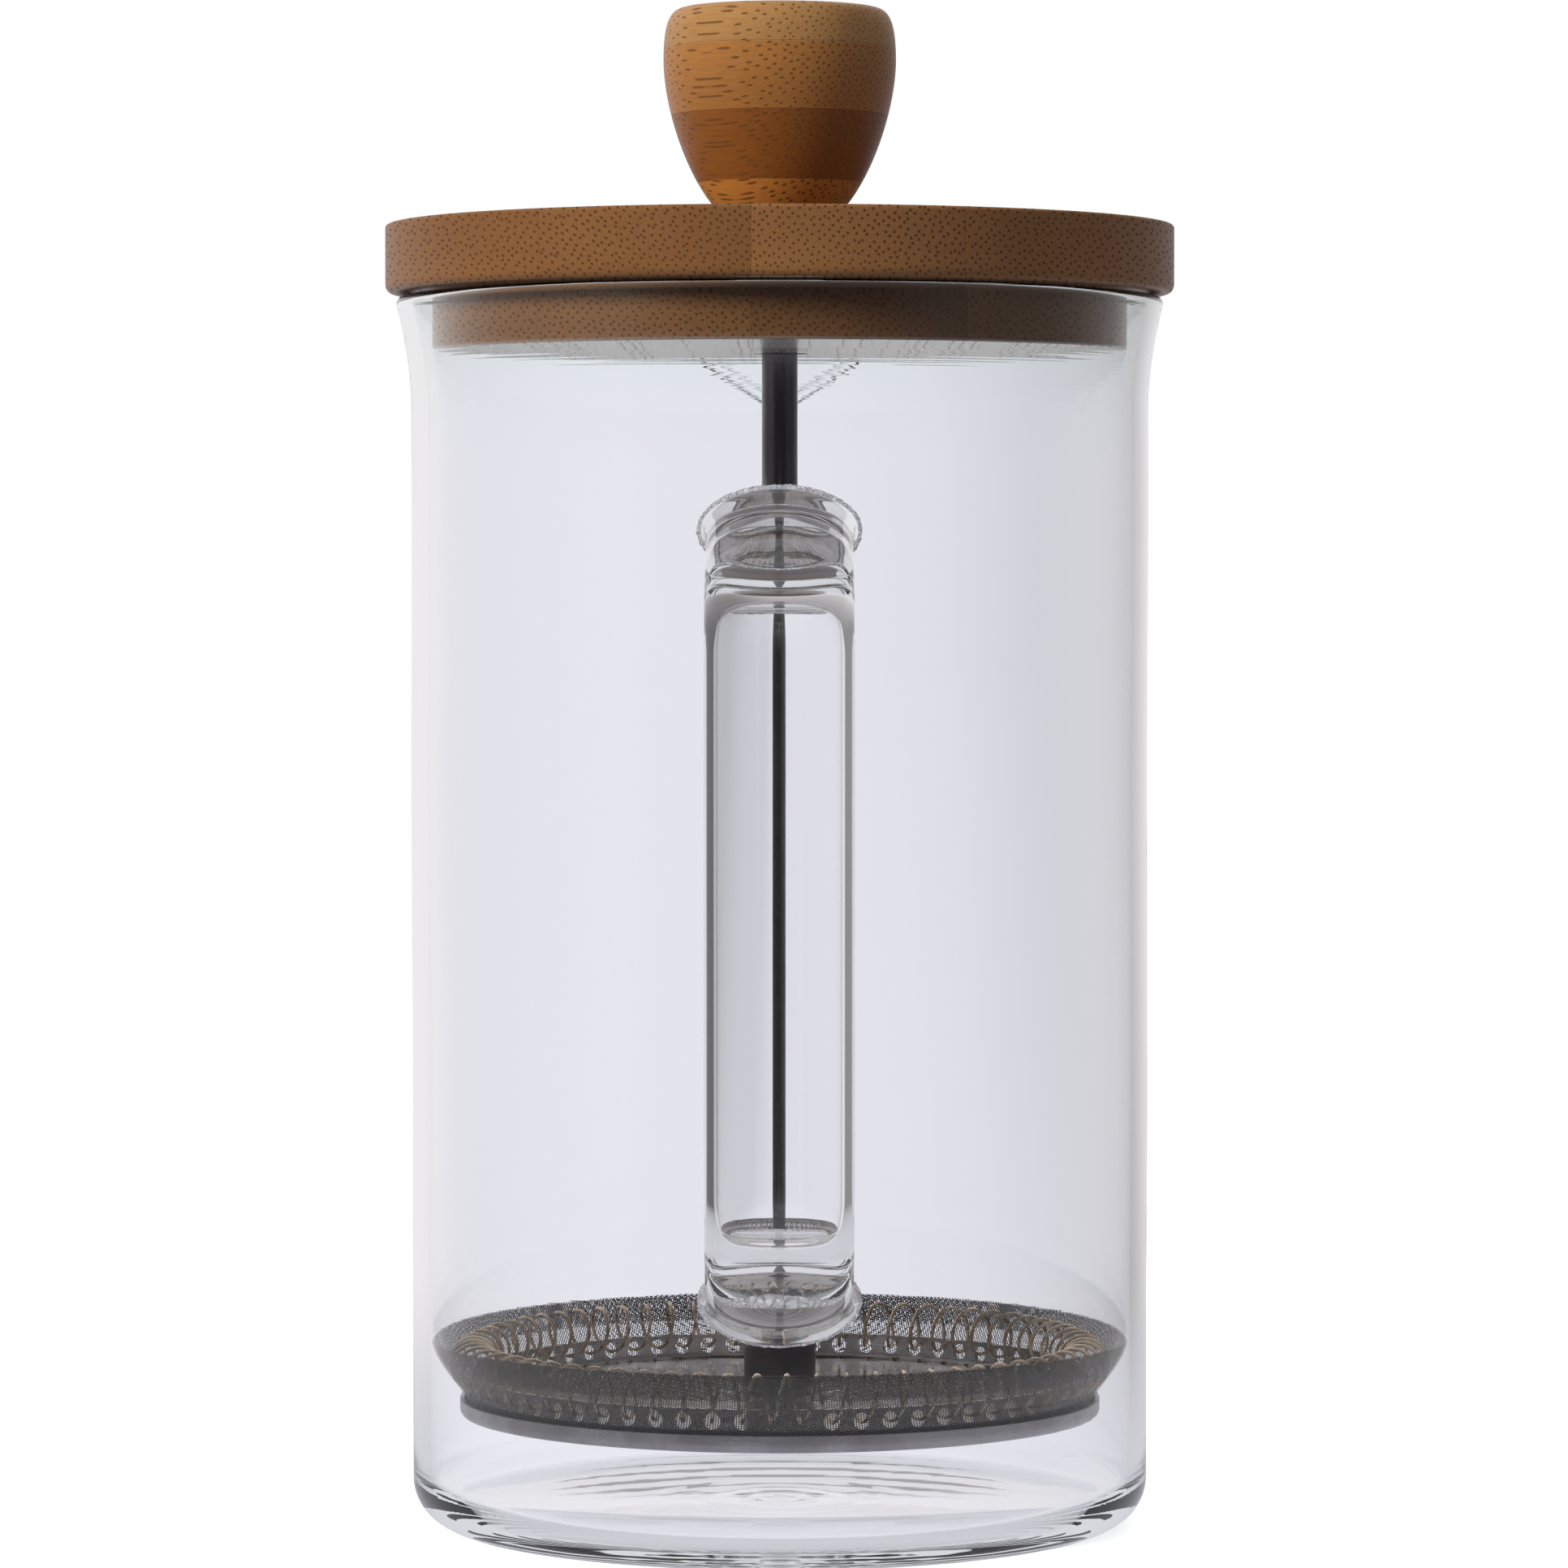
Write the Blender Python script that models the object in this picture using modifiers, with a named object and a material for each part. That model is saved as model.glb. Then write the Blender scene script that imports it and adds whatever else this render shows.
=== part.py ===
"""A french press as an assembly of separate pieces: a glass beaker with a strap handle, a lid of two
bamboo boards, a turned knob, and a plunger with a sprung mesh filter.

Metres, +Z up. The origin is on the beaker's axis, at its underside. The handle points to -Y and the
pouring spout to +Y. The plunger rests at its lowest position, with the knob on the lid.
"""

import math

import bmesh
import bpy
from mathutils import Matrix

# Fits
GAP = 0.0003  # between faces that touch, and round the rod in each bore

# Glass beaker
BEAKER_RADIUS = 0.0431
BEAKER_HEIGHT = 0.1438
GLASS_WALL = 0.0019
BASE_THICKNESS = 0.0030
BASE_CORNER = 0.0056  # outside radius between base and wall
FLARE_HEIGHT = 0.0130  # the rim widens over this height
FLARE_OUT = 0.0020
FLARE_POWER = 1.8
SPOUT_HEIGHT = 0.0122  # from the point of the pinch up to the rim
SPOUT_HALF_WIDTH = 0.0187
SPOUT_OUT = 0.0044
SPOUT_POWER = 1.3

# Glass strap handle
STRAP_WIDTH = 0.0160
STRAP_THICKNESS = 0.0086
STRAP_SQUARENESS = 2.0  # exponent of the section: 2 is an ellipse
HANDLE_REACH = 0.0329  # from the beaker's wall to the outside of the strap
HANDLE_FOOT_HEIGHT = 0.0264  # base to the underside of the lower arm at the wall
HANDLE_SPLAY = 0.0034  # each arm is this much nearer to the other one at its bend than at the wall
HANDLE_BELOW_RIM = 0.0232  # rim to the top of the upper arm at the wall
HANDLE_BEND = 0.0105  # bend radius of the strap's middle line
WELD_SPREAD = 1.10  # the strap widens where it is melted onto the wall
WELD_LENGTH = 0.0040

# Lid: an upper disc on the rim and a plug inside it
LID_OVERHANG = 0.0010  # past the widest place of the rim
LID_THICKNESS = 0.0080
LID_TOP_EDGE = 0.0003
LID_BOTTOM_EDGE = 0.0010
PLUG_CLEARANCE = 0.0006  # between the plug and the inside of the straight wall
PLUG_THICKNESS = 0.0063
PLUG_EDGE = 0.0003

# Rod and the sleeve it slides in
ROD_RADIUS = 0.0021
SLEEVE_WALL = 0.0006
SLEEVE_RECESS = 0.0020  # the sleeve ends this far inside the bore, at both ends

# Knob
KNOB_RADIUS = 0.0136
KNOB_HEIGHT = 0.0255
KNOB_FOOT_RADIUS = 0.0058
KNOB_BELLY_HEIGHT = 0.0190  # height of the widest place
KNOB_SHOULDER = 0.0024  # the rounded top edge
KNOB_DOME = 0.00045
INSERT_WALL = 0.0012
INSERT_LENGTH = 0.0108
KNOB_BORE_SPARE = 0.0005  # empty depth above the insert

# Plunger: heights are counted from the beaker's base
PAN_HEIGHT = 0.0131  # underside of the pan's floor
PLATE_SHEET = 0.0005
PAN_RIM = 0.0020  # height of the pan's upturned rim
PAN_OFF_GLASS = 0.0036  # between the pan's rim and the glass
MESH_SHEET = 0.0003
MESH_OVER_COIL = 0.0005  # the hem stands this far above the coil
HUB_FIELD = 0.0070  # radius of the raised or sunk middle of the two plates
HUB_SLOPE = 0.0015
EYELET_RADIUS = 0.0060
EYELET_SHEET = 0.0004
COLLAR_RADIUS = 0.0042
COLLAR_HEIGHT = 0.0069
COLLAR_CONE = 0.0016  # height of the domed top
NUT_ACROSS_CORNERS = 0.0094
NUT_HEIGHT = 0.0026

# Coil spring, and the holes that it threads through
COIL_TURNS = 68
COIL_HEIGHT = 0.0054
COIL_DEPTH = 0.0044
COIL_WIRE = 0.00045
COIL_LIFT = 0.0019  # from the spring plate's underside up to the coil's lowest wire
COIL_OVER_RIM = 0.0012  # the coil's middle stands this far above the perforated wall
HOLE_RADIUS = 0.0010
HOLE_SPARE = 0.00015  # between the wire and the top of its hole

# Drain holes: one ring of large round holes in the pan
DRAIN_RADIUS = 0.0075
DRAIN_RING = 0.0215
DRAIN_COUNT = 6

# Fineness of round pieces
BIG_STEPS = 48
KNOB_STEPS = 32
SMALL_STEPS = 20
COIL_STEPS = 5
HOLE_SIDES = 6
DRAIN_SIDES = 12
STRAP_SIDES = 18
BEND_STEPS = 6
SHARP_EDGE = math.radians(35)
WELD_DISTANCE = 0.000002

# Places that follow from the sizes above
BEAKER_BORE = BEAKER_RADIUS - GLASS_WALL
LID_RADIUS = BEAKER_RADIUS + FLARE_OUT + LID_OVERHANG
ROD_BORE = ROD_RADIUS + GAP
LID_UNDERSIDE = BEAKER_HEIGHT + GAP
LID_TOP = LID_UNDERSIDE + LID_THICKNESS
PLUG_TOP = LID_UNDERSIDE - GAP
PLUG_UNDERSIDE = PLUG_TOP - PLUG_THICKNESS
SLEEVE_RADIUS = ROD_BORE + SLEEVE_WALL
KNOB_FOOT = LID_TOP + GAP
INSERT_RADIUS = ROD_BORE + INSERT_WALL
INSERT_FOOT = KNOB_FOOT + GAP
INSERT_TOP = INSERT_FOOT + INSERT_LENGTH
PAN_TOP = PAN_HEIGHT + PLATE_SHEET
MESH_FLOOR = PAN_TOP + GAP
MESH_FLOOR_TOP = MESH_FLOOR + MESH_SHEET
SPRING_PLATE_FLOOR = MESH_FLOOR_TOP + GAP
UPPER_EYELET_FLOOR = MESH_FLOOR_TOP + GAP
LOWER_EYELET_TOP = MESH_FLOOR - GAP
PAN_RADIUS = BEAKER_BORE - PAN_OFF_GLASS
MESH_WAIST = PAN_RADIUS - PLATE_SHEET - GAP  # outside of the mesh, inside the pan's rim
SPRING_PLATE_RADIUS = MESH_WAIST - MESH_SHEET - GAP
COIL_RING = SPRING_PLATE_RADIUS - PLATE_SHEET / 2  # the coil's middle circle, in the wall
COIL_MIDDLE = SPRING_PLATE_FLOOR + COIL_LIFT + COIL_HEIGHT / 2
SPRING_PLATE_TOP = COIL_MIDDLE - COIL_OVER_RIM
MESH_TOP = COIL_MIDDLE + COIL_HEIGHT / 2 + MESH_OVER_COIL
COIL_CORNER = math.pi / COIL_STEPS  # half the angle between two corners of one turn
COIL_SPREAD = (COIL_DEPTH - COIL_WIRE) / 2 / math.cos(COIL_CORNER)  # middle circle to a corner
COIL_RISE = (COIL_HEIGHT - COIL_WIRE) / 2 / math.cos(COIL_CORNER)
PLATE_MIDDLE_TOP = UPPER_EYELET_FLOOR + EYELET_SHEET + GAP + PLATE_SHEET
PAN_MIDDLE_FLOOR = LOWER_EYELET_TOP - EYELET_SHEET - GAP - PLATE_SHEET
COLLAR_FOOT = PLATE_MIDDLE_TOP + GAP
NUT_TOP = PAN_MIDDLE_FLOOR - GAP
ROD_FOOT = NUT_TOP - NUT_HEIGHT + GAP
ROD_TOP = INSERT_TOP - GAP


def clear_scene():
    for obj in list(bpy.data.objects):
        bpy.data.objects.remove(obj, do_unlink=True)


def new_collection(name):
    collection = bpy.data.collections.new(name)
    bpy.context.scene.collection.children.link(collection)
    return collection


def finish(name, colour, metallic, roughness, transmission=0.0):
    material = bpy.data.materials.new(name)
    material.use_nodes = True
    shader = material.node_tree.nodes["Principled BSDF"]
    shader.inputs["Base Color"].default_value = (*colour, 1.0)
    shader.inputs["Metallic"].default_value = metallic
    shader.inputs["Roughness"].default_value = roughness
    shader.inputs["Transmission Weight"].default_value = transmission
    material.diffuse_color = (*colour, 1.0)
    return material


def add(name, data, collection, material=None, parent=None):
    obj = bpy.data.objects.new(name, data)
    collection.objects.link(obj)
    obj.parent = parent
    if material:
        data.materials.append(material)
    return obj


def axis_empty(name, parent=None):
    """An empty on the common upright axis, which a moving group hangs on."""
    empty = add(name, None, PRESS, parent=parent)
    empty.empty_display_size = BEAKER_RADIUS / 2
    return empty


def cutter_object(name, mesh):
    cutter = add(name, mesh, CUTTERS)
    cutter.hide_render = True
    cutter.display_type = "WIRE"
    return cutter


def frozen(obj):
    """The object with its modifiers or its curve made a welded and closed mesh, shaded smooth up to
    its edges."""
    bpy.context.view_layer.update()
    graph = bpy.context.evaluated_depsgraph_get()
    mesh = bpy.data.meshes.new_from_object(obj.evaluated_get(graph))
    shape = bmesh.new()
    shape.from_mesh(mesh)
    bmesh.ops.remove_doubles(shape, verts=shape.verts, dist=WELD_DISTANCE)
    bmesh.ops.holes_fill(shape, edges=[edge for edge in shape.edges if edge.is_boundary])
    bmesh.ops.recalc_face_normals(shape, faces=shape.faces)
    shape.to_mesh(mesh)
    shape.free()
    mesh.shade_smooth()
    mesh.set_sharp_from_angle(angle=SHARP_EDGE)
    name = obj.name
    parent = obj.parent
    place = obj.matrix_world.copy()
    material = obj.active_material
    bpy.data.objects.remove(obj, do_unlink=True)
    mesh.materials.clear()
    solid = add(name, mesh, PRESS, material, parent)
    solid.matrix_world = place
    return solid


def cut(obj, cutter):
    boolean = obj.modifiers.new("Cut", "BOOLEAN")
    boolean.operation = "DIFFERENCE"
    boolean.solver = "EXACT"
    boolean.object = cutter
    return frozen(obj)


def arc(centre_radius, centre_height, radius, start_deg, end_deg, steps):
    """Points (radius, height) along an arc, with both of its ends."""
    points = []
    for i in range(steps + 1):
        angle = math.radians(start_deg + (end_deg - start_deg) * i / steps)
        r = centre_radius + radius * math.cos(angle)
        z = centre_height + radius * math.sin(angle)
        points.append((r, z))
    return points


def bezier(p0, p1, p2, p3, steps):
    """Points along a cubic curve, with both of its ends."""
    points = []
    for i in range(steps + 1):
        t = i / steps
        weights = ((1 - t) ** 3, 3 * (1 - t) ** 2 * t, 3 * (1 - t) * t**2, t**3)
        corners = (p0, p1, p2, p3)
        r = sum(w * p[0] for w, p in zip(weights, corners))
        z = sum(w * p[1] for w, p in zip(weights, corners))
        points.append((r, z))
    return points


def turned(name, outline, steps, material, parent=None, closed=True, sheet=0.0):
    """A piece turned round the upright axis. Its outline of (radius, height) points runs down the
    outer side. A sheet is an open outline that gets its thickness to both sides."""
    mesh = bpy.data.meshes.new(name)
    edges = [(i, i + 1) for i in range(len(outline) - 1)]
    if closed:
        edges.append((len(outline) - 1, 0))
    mesh.from_pydata([(r, 0.0, z) for r, z in outline], edges, [])
    obj = add(name, mesh, PRESS, material, parent)
    screw = obj.modifiers.new("Turn", "SCREW")
    screw.axis = "Z"
    screw.angle = 2 * math.pi
    screw.steps = steps
    screw.render_steps = steps
    screw.use_merge_vertices = True
    screw.merge_threshold = 0.00001
    if sheet:
        solidify = obj.modifiers.new("Sheet", "SOLIDIFY")
        solidify.thickness = sheet
        solidify.offset = 0.0
        solidify.use_even_offset = True
    return frozen(obj)


def ring_outline(inner, outer, bottom, top):
    return [(inner, top), (outer, top), (outer, bottom), (inner, bottom)]


def peg_mesh(name, pegs, sides, radius, depth):
    """One mesh of closed pegs, each along the Z axis of its own matrix, to cut a pattern of holes."""
    shape = bmesh.new()
    for place in pegs:
        bmesh.ops.create_cone(
            shape,
            cap_ends=True,
            segments=sides,
            radius1=radius,
            radius2=radius,
            depth=depth,
            matrix=place,
        )
    mesh = bpy.data.meshes.new(name)
    shape.to_mesh(mesh)
    shape.free()
    return mesh


def rim_radius(height):
    """Outside radius of the beaker at a height, with the gentle flare below the rim."""
    above = max(0.0, height - (BEAKER_HEIGHT - FLARE_HEIGHT)) / FLARE_HEIGHT
    return BEAKER_RADIUS + FLARE_OUT * above**FLARE_POWER


def spout_push(point):
    """How far the pouring spout pulls a point of the rim outwards, along +Y. The pinch is a V that
    opens upwards, with a crease where it leaves the round wall."""
    above = (point.z - (BEAKER_HEIGHT - SPOUT_HEIGHT)) / SPOUT_HEIGHT
    if above <= 0 or point.y <= 0:
        return 0.0
    sideways = abs(math.atan2(point.x, point.y)) * BEAKER_RADIUS
    share = sideways / (SPOUT_HALF_WIDTH * above)
    if share >= 1:
        return 0.0
    return SPOUT_OUT * above**SPOUT_POWER * (1 - share**1.5)


def make_beaker():
    lip = GLASS_WALL / 2
    lip_height = BEAKER_HEIGHT - lip
    flare_foot = BEAKER_HEIGHT - FLARE_HEIGHT
    flare = [flare_foot + (lip_height - flare_foot) * share for share in (0, 0.3, 0.55, 0.78)]
    inside = [(rim_radius(z) - GLASS_WALL, z) for z in flare]
    outside = [(rim_radius(z), z) for z in reversed(flare)]
    inner_corner = BASE_CORNER - GLASS_WALL
    outline = [(0.0, BASE_THICKNESS)]
    corner_radius = BEAKER_BORE - inner_corner
    outline += arc(corner_radius, BASE_THICKNESS + inner_corner, inner_corner, -90, 0, 3)
    outline += inside
    outline += arc(rim_radius(lip_height) - lip, lip_height, lip, 180, 0, 4)
    outline += outside
    outline += arc(BEAKER_RADIUS - BASE_CORNER, BASE_CORNER, BASE_CORNER, 0, -90, 4)
    outline += [(0.0, 0.0)]
    beaker = turned("glass_beaker", outline, BIG_STEPS, GLASS, closed=False)
    for vertex in beaker.data.vertices:
        vertex.co.y += spout_push(vertex.co)


def strap_section():
    """The strap's rounded section as a closed flat curve: its width along X, thickness along Y."""
    curve = bpy.data.curves.new("strap_section", "CURVE")
    curve.dimensions = "2D"
    spline = curve.splines.new("POLY")
    spline.points.add(STRAP_SIDES - 1)
    for i, point in enumerate(spline.points):
        angle = 2 * math.pi * i / STRAP_SIDES
        across = math.copysign(abs(math.cos(angle)) ** (2 / STRAP_SQUARENESS), math.cos(angle))
        through = math.copysign(abs(math.sin(angle)) ** (2 / STRAP_SQUARENESS), math.sin(angle))
        point.co = (across * STRAP_WIDTH / 2, through * STRAP_THICKNESS / 2, 0.0, 1.0)
    spline.use_cyclic_u = True
    return cutter_object("strap_section", curve)


def handle_path():
    """The strap's middle line in the plane X = 0, as (y, z, width share), from the upper weld to the
    lower one: an arm out, a bend, the straight grip, a bend, and an arm back. The arms splay towards
    the wall."""
    half = STRAP_THICKNESS / 2
    top = BEAKER_HEIGHT - HANDLE_BELOW_RIM - half
    bottom = HANDLE_FOOT_HEIGHT + half
    grip = -(BEAKER_RADIUS + HANDLE_REACH - half)
    inside_wall = -(BEAKER_RADIUS - GLASS_WALL)
    weld_end = -(BEAKER_RADIUS + WELD_LENGTH)
    bend_start = grip + HANDLE_BEND
    path = [(inside_wall, top, WELD_SPREAD), (-BEAKER_RADIUS, top, WELD_SPREAD), (weld_end, top, 1.0)]
    upper_bend = top - HANDLE_SPLAY - HANDLE_BEND
    lower_bend = bottom + HANDLE_SPLAY + HANDLE_BEND
    for y, z in arc(bend_start, upper_bend, HANDLE_BEND, 90, 180, BEND_STEPS):
        path.append((y, z, 1.0))
    for y, z in arc(bend_start, lower_bend, HANDLE_BEND, 180, 270, BEND_STEPS):
        path.append((y, z, 1.0))
    path += [(weld_end, bottom, 1.0), (-BEAKER_RADIUS, bottom, WELD_SPREAD)]
    path += [(inside_wall, bottom, WELD_SPREAD)]
    return path


def make_handle():
    curve = bpy.data.curves.new("glass_handle", "CURVE")
    curve.dimensions = "3D"
    curve.twist_mode = "MINIMUM"
    curve.bevel_mode = "OBJECT"
    curve.bevel_object = strap_section()
    curve.use_fill_caps = True
    path = handle_path()
    spline = curve.splines.new("POLY")
    spline.points.add(len(path) - 1)
    for point, (y, z, share) in zip(spline.points, path):
        point.co = (0.0, y, z, 1.0)
        point.radius = share
    handle = frozen(add("glass_handle", curve, PRESS, GLASS))
    height = BEAKER_HEIGHT
    wall = peg_mesh("wall_clearance", [Matrix.Translation((0, 0, height / 2))], BIG_STEPS,
                    BEAKER_RADIUS + GAP, height)
    cut(handle, cutter_object("wall_clearance", wall))


def make_lid(lid):
    bore = SLEEVE_RADIUS + GAP
    disc = [(bore, LID_TOP), (LID_RADIUS - LID_TOP_EDGE, LID_TOP), (LID_RADIUS, LID_TOP - LID_TOP_EDGE)]
    disc += arc(LID_RADIUS - LID_BOTTOM_EDGE, LID_UNDERSIDE + LID_BOTTOM_EDGE, LID_BOTTOM_EDGE, 0, -90, 3)
    disc += [(bore, LID_UNDERSIDE)]
    turned("lid_disc", disc, BIG_STEPS, BAMBOO, lid)
    radius = BEAKER_BORE - PLUG_CLEARANCE
    plug = [(bore, PLUG_TOP), (radius, PLUG_TOP), (radius, PLUG_UNDERSIDE + PLUG_EDGE)]
    plug += [(radius - PLUG_EDGE, PLUG_UNDERSIDE), (bore, PLUG_UNDERSIDE)]
    turned("lid_plug", plug, BIG_STEPS, BAMBOO, lid)
    sleeve_foot = PLUG_UNDERSIDE + SLEEVE_RECESS
    sleeve_top = LID_TOP - SLEEVE_RECESS
    sleeve = ring_outline(ROD_BORE, SLEEVE_RADIUS, sleeve_foot, sleeve_top)
    turned("rod_sleeve", sleeve, SMALL_STEPS, STEEL, lid)


def make_knob(knob):
    top = KNOB_FOOT + KNOB_HEIGHT
    belly = KNOB_FOOT + KNOB_BELLY_HEIGHT
    shoulder_radius = KNOB_RADIUS - KNOB_SHOULDER
    shoulder = top - KNOB_DOME
    outline = [(0.0, top), (shoulder_radius / 2, top - KNOB_DOME / 4)]
    outline += bezier(
        (shoulder_radius, shoulder),
        (KNOB_RADIUS - KNOB_SHOULDER / 5, shoulder),
        (KNOB_RADIUS, (2 * belly + 3 * shoulder) / 5),
        (KNOB_RADIUS, belly),
        4,
    )
    outline += bezier(
        (KNOB_RADIUS, belly),
        (KNOB_RADIUS, KNOB_FOOT + 0.7 * KNOB_BELLY_HEIGHT),
        (0.4 * KNOB_FOOT_RADIUS + 0.6 * KNOB_RADIUS, KNOB_FOOT + 0.2 * KNOB_BELLY_HEIGHT),
        (KNOB_FOOT_RADIUS, KNOB_FOOT),
        6,
    )[1:]
    bore = INSERT_RADIUS + GAP
    bore_end = INSERT_TOP + KNOB_BORE_SPARE
    outline += [(bore, KNOB_FOOT), (bore, bore_end), (0.0, bore_end)]
    turned("knob", outline, KNOB_STEPS, BAMBOO, knob, closed=False)
    insert = ring_outline(ROD_BORE, INSERT_RADIUS, INSERT_FOOT, INSERT_TOP)
    turned("knob_insert", insert, SMALL_STEPS, BRASS, knob)


def make_rod(plunger):
    bpy.ops.mesh.primitive_cylinder_add(
        vertices=SMALL_STEPS,
        radius=ROD_RADIUS,
        depth=ROD_TOP - ROD_FOOT,
        location=(0, 0, (ROD_TOP + ROD_FOOT) / 2),
    )
    rod = bpy.context.object
    rod.name = "plunger_rod"
    rod.data.materials.append(DARK_STEEL)
    rod.data.shade_smooth()
    rod.data.set_sharp_from_angle(angle=SHARP_EDGE)
    for collection in list(rod.users_collection):
        collection.objects.unlink(rod)
    PRESS.objects.link(rod)
    rod.parent = plunger
    top = COLLAR_FOOT + COLLAR_HEIGHT
    collar = bezier(
        (ROD_BORE, top),
        (ROD_BORE + COLLAR_CONE / 2, top),
        (COLLAR_RADIUS, top - COLLAR_CONE / 3),
        (COLLAR_RADIUS, top - COLLAR_CONE),
        4,
    )
    collar += [(COLLAR_RADIUS, COLLAR_FOOT), (ROD_BORE, COLLAR_FOOT)]
    turned("rod_collar", collar, SMALL_STEPS, DARK_STEEL, plunger)


def coil_point(index):
    """Corner of the coil as (turn angle, radius, height). The lowest side of each turn is level, and
    goes straight through the wall of the spring plate."""
    phase = -math.pi / 2 + COIL_CORNER * (2 * index - 1)
    radius = COIL_RING + COIL_SPREAD * math.cos(phase)
    height = COIL_MIDDLE + COIL_RISE * math.sin(phase)
    return 2 * math.pi * index / (COIL_STEPS * COIL_TURNS), radius, height


def make_coil_spring(plunger):
    curve = bpy.data.curves.new("coil_spring", "CURVE")
    curve.dimensions = "3D"
    curve.bevel_depth = COIL_WIRE / 2
    curve.bevel_resolution = 0
    spline = curve.splines.new("POLY")
    spline.points.add(COIL_STEPS * COIL_TURNS - 1)
    for index, point in enumerate(spline.points):
        turn, radius, height = coil_point(index)
        point.co = (radius * math.cos(turn), radius * math.sin(turn), height, 1.0)
    spline.use_cyclic_u = True
    add("coil_spring", curve, PRESS, SPRING_WIRE, plunger)


def plate_line(middle_height, floor_height, corner_radius, wall_radius, wall_top):
    """Middle line of a pressed plate: from its upturned wall, down and in to its hub field."""
    line = [(wall_radius, wall_top)]
    line += arc(wall_radius - corner_radius, floor_height + corner_radius, corner_radius, 0, -90, 1)
    line += [(HUB_FIELD + HUB_SLOPE, floor_height), (HUB_FIELD, middle_height)]
    line += [(ROD_BORE + GAP, middle_height)]
    return line


def drain_pegs(height):
    pegs = []
    for k in range(DRAIN_COUNT):
        turn = Matrix.Rotation(2 * math.pi * k / DRAIN_COUNT, 4, "Z")
        pegs.append(turn @ Matrix.Translation((DRAIN_RING, 0, height)))
    return pegs


def make_spring_plate(plunger):
    half = PLATE_SHEET / 2
    line = plate_line(PLATE_MIDDLE_TOP - half, SPRING_PLATE_FLOOR + half, 3 * half, COIL_RING,
                      SPRING_PLATE_TOP)
    plate = turned("spring_plate", line, COIL_TURNS, DARK_STEEL, plunger, closed=False, sheet=PLATE_SHEET)
    wire_top = COIL_MIDDLE - COIL_HEIGHT / 2 + COIL_WIRE
    hole_top = HOLE_RADIUS * math.cos(math.pi / HOLE_SIDES)
    height = wire_top + HOLE_SPARE - hole_top
    pegs = []
    for k in range(COIL_TURNS):
        start = coil_point(COIL_STEPS * k)[0]
        end = coil_point(COIL_STEPS * k + 1)[0]
        turn = Matrix.Rotation((start + end) / 2, 4, "Z")
        lie = Matrix.Rotation(math.pi / 2, 4, "Y") @ Matrix.Rotation(math.pi / HOLE_SIDES, 4, "Z")
        pegs.append(turn @ Matrix.Translation((COIL_RING, 0, height)) @ lie)
    holes = peg_mesh("spring_holes", pegs, HOLE_SIDES, HOLE_RADIUS, 6 * PLATE_SHEET)
    cut(plate, cutter_object("spring_holes", holes))


def make_mesh_dish(plunger):
    """The woven dish. Its flare bows out round the coil, and its hem stays a gap off the glass."""
    half = MESH_SHEET / 2
    waist = (MESH_WAIST - half, PAN_HEIGHT + PAN_RIM)
    hem = (BEAKER_BORE - GAP - half, MESH_TOP)
    bow = (COIL_RING + COIL_SPREAD + COIL_WIRE / 2 + GAP + half, COIL_MIDDLE - COIL_HEIGHT / 8)
    pull = ((8 * bow[0] - hem[0] - waist[0]) / 6, (8 * bow[1] - hem[1] - waist[1]) / 6)
    reach = COIL_HEIGHT / 4
    line = bezier(hem, (pull[0], pull[1] + reach), (pull[0], pull[1] - reach), waist, 6)
    corner = MESH_SHEET * 2
    line += arc(MESH_WAIST - half - corner, MESH_FLOOR + half + corner, corner, 0, -90, 1)
    line += [(ROD_BORE + GAP, MESH_FLOOR + half)]
    turned("filter_mesh", line, BIG_STEPS, WOVEN_STEEL, plunger, closed=False, sheet=MESH_SHEET)
    upper = ring_outline(ROD_BORE + GAP, EYELET_RADIUS, UPPER_EYELET_FLOOR, UPPER_EYELET_FLOOR + EYELET_SHEET)
    turned("mesh_eyelet_upper", upper, SMALL_STEPS, STEEL, plunger)
    lower = ring_outline(ROD_BORE + GAP, EYELET_RADIUS, LOWER_EYELET_TOP - EYELET_SHEET, LOWER_EYELET_TOP)
    turned("mesh_eyelet_lower", lower, SMALL_STEPS, STEEL, plunger)


def make_pan(pan):
    half = PLATE_SHEET / 2
    line = plate_line(PAN_MIDDLE_FLOOR + half, PAN_HEIGHT + half, 3 * half, PAN_RADIUS - half,
                      PAN_HEIGHT + PAN_RIM)
    plate = turned("cross_plate", line, BIG_STEPS, STEEL, pan, closed=False, sheet=PLATE_SHEET)
    drains = peg_mesh("pan_drains", drain_pegs(PAN_HEIGHT + half), DRAIN_SIDES, DRAIN_RADIUS,
                      4 * PLATE_SHEET)
    cut(plate, cutter_object("pan_drains", drains))
    middle = NUT_TOP - NUT_HEIGHT / 2
    hexagon = peg_mesh("plate_nut", [Matrix.Translation((0, 0, middle))], 6, NUT_ACROSS_CORNERS / 2,
                       NUT_HEIGHT)
    nut = add("plate_nut", hexagon, PRESS, STEEL, pan)
    bore = peg_mesh("nut_bore", [Matrix.Translation((0, 0, middle))], SMALL_STEPS, ROD_BORE,
                    2 * NUT_HEIGHT)
    cut(nut, cutter_object("nut_bore", bore))


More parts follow.
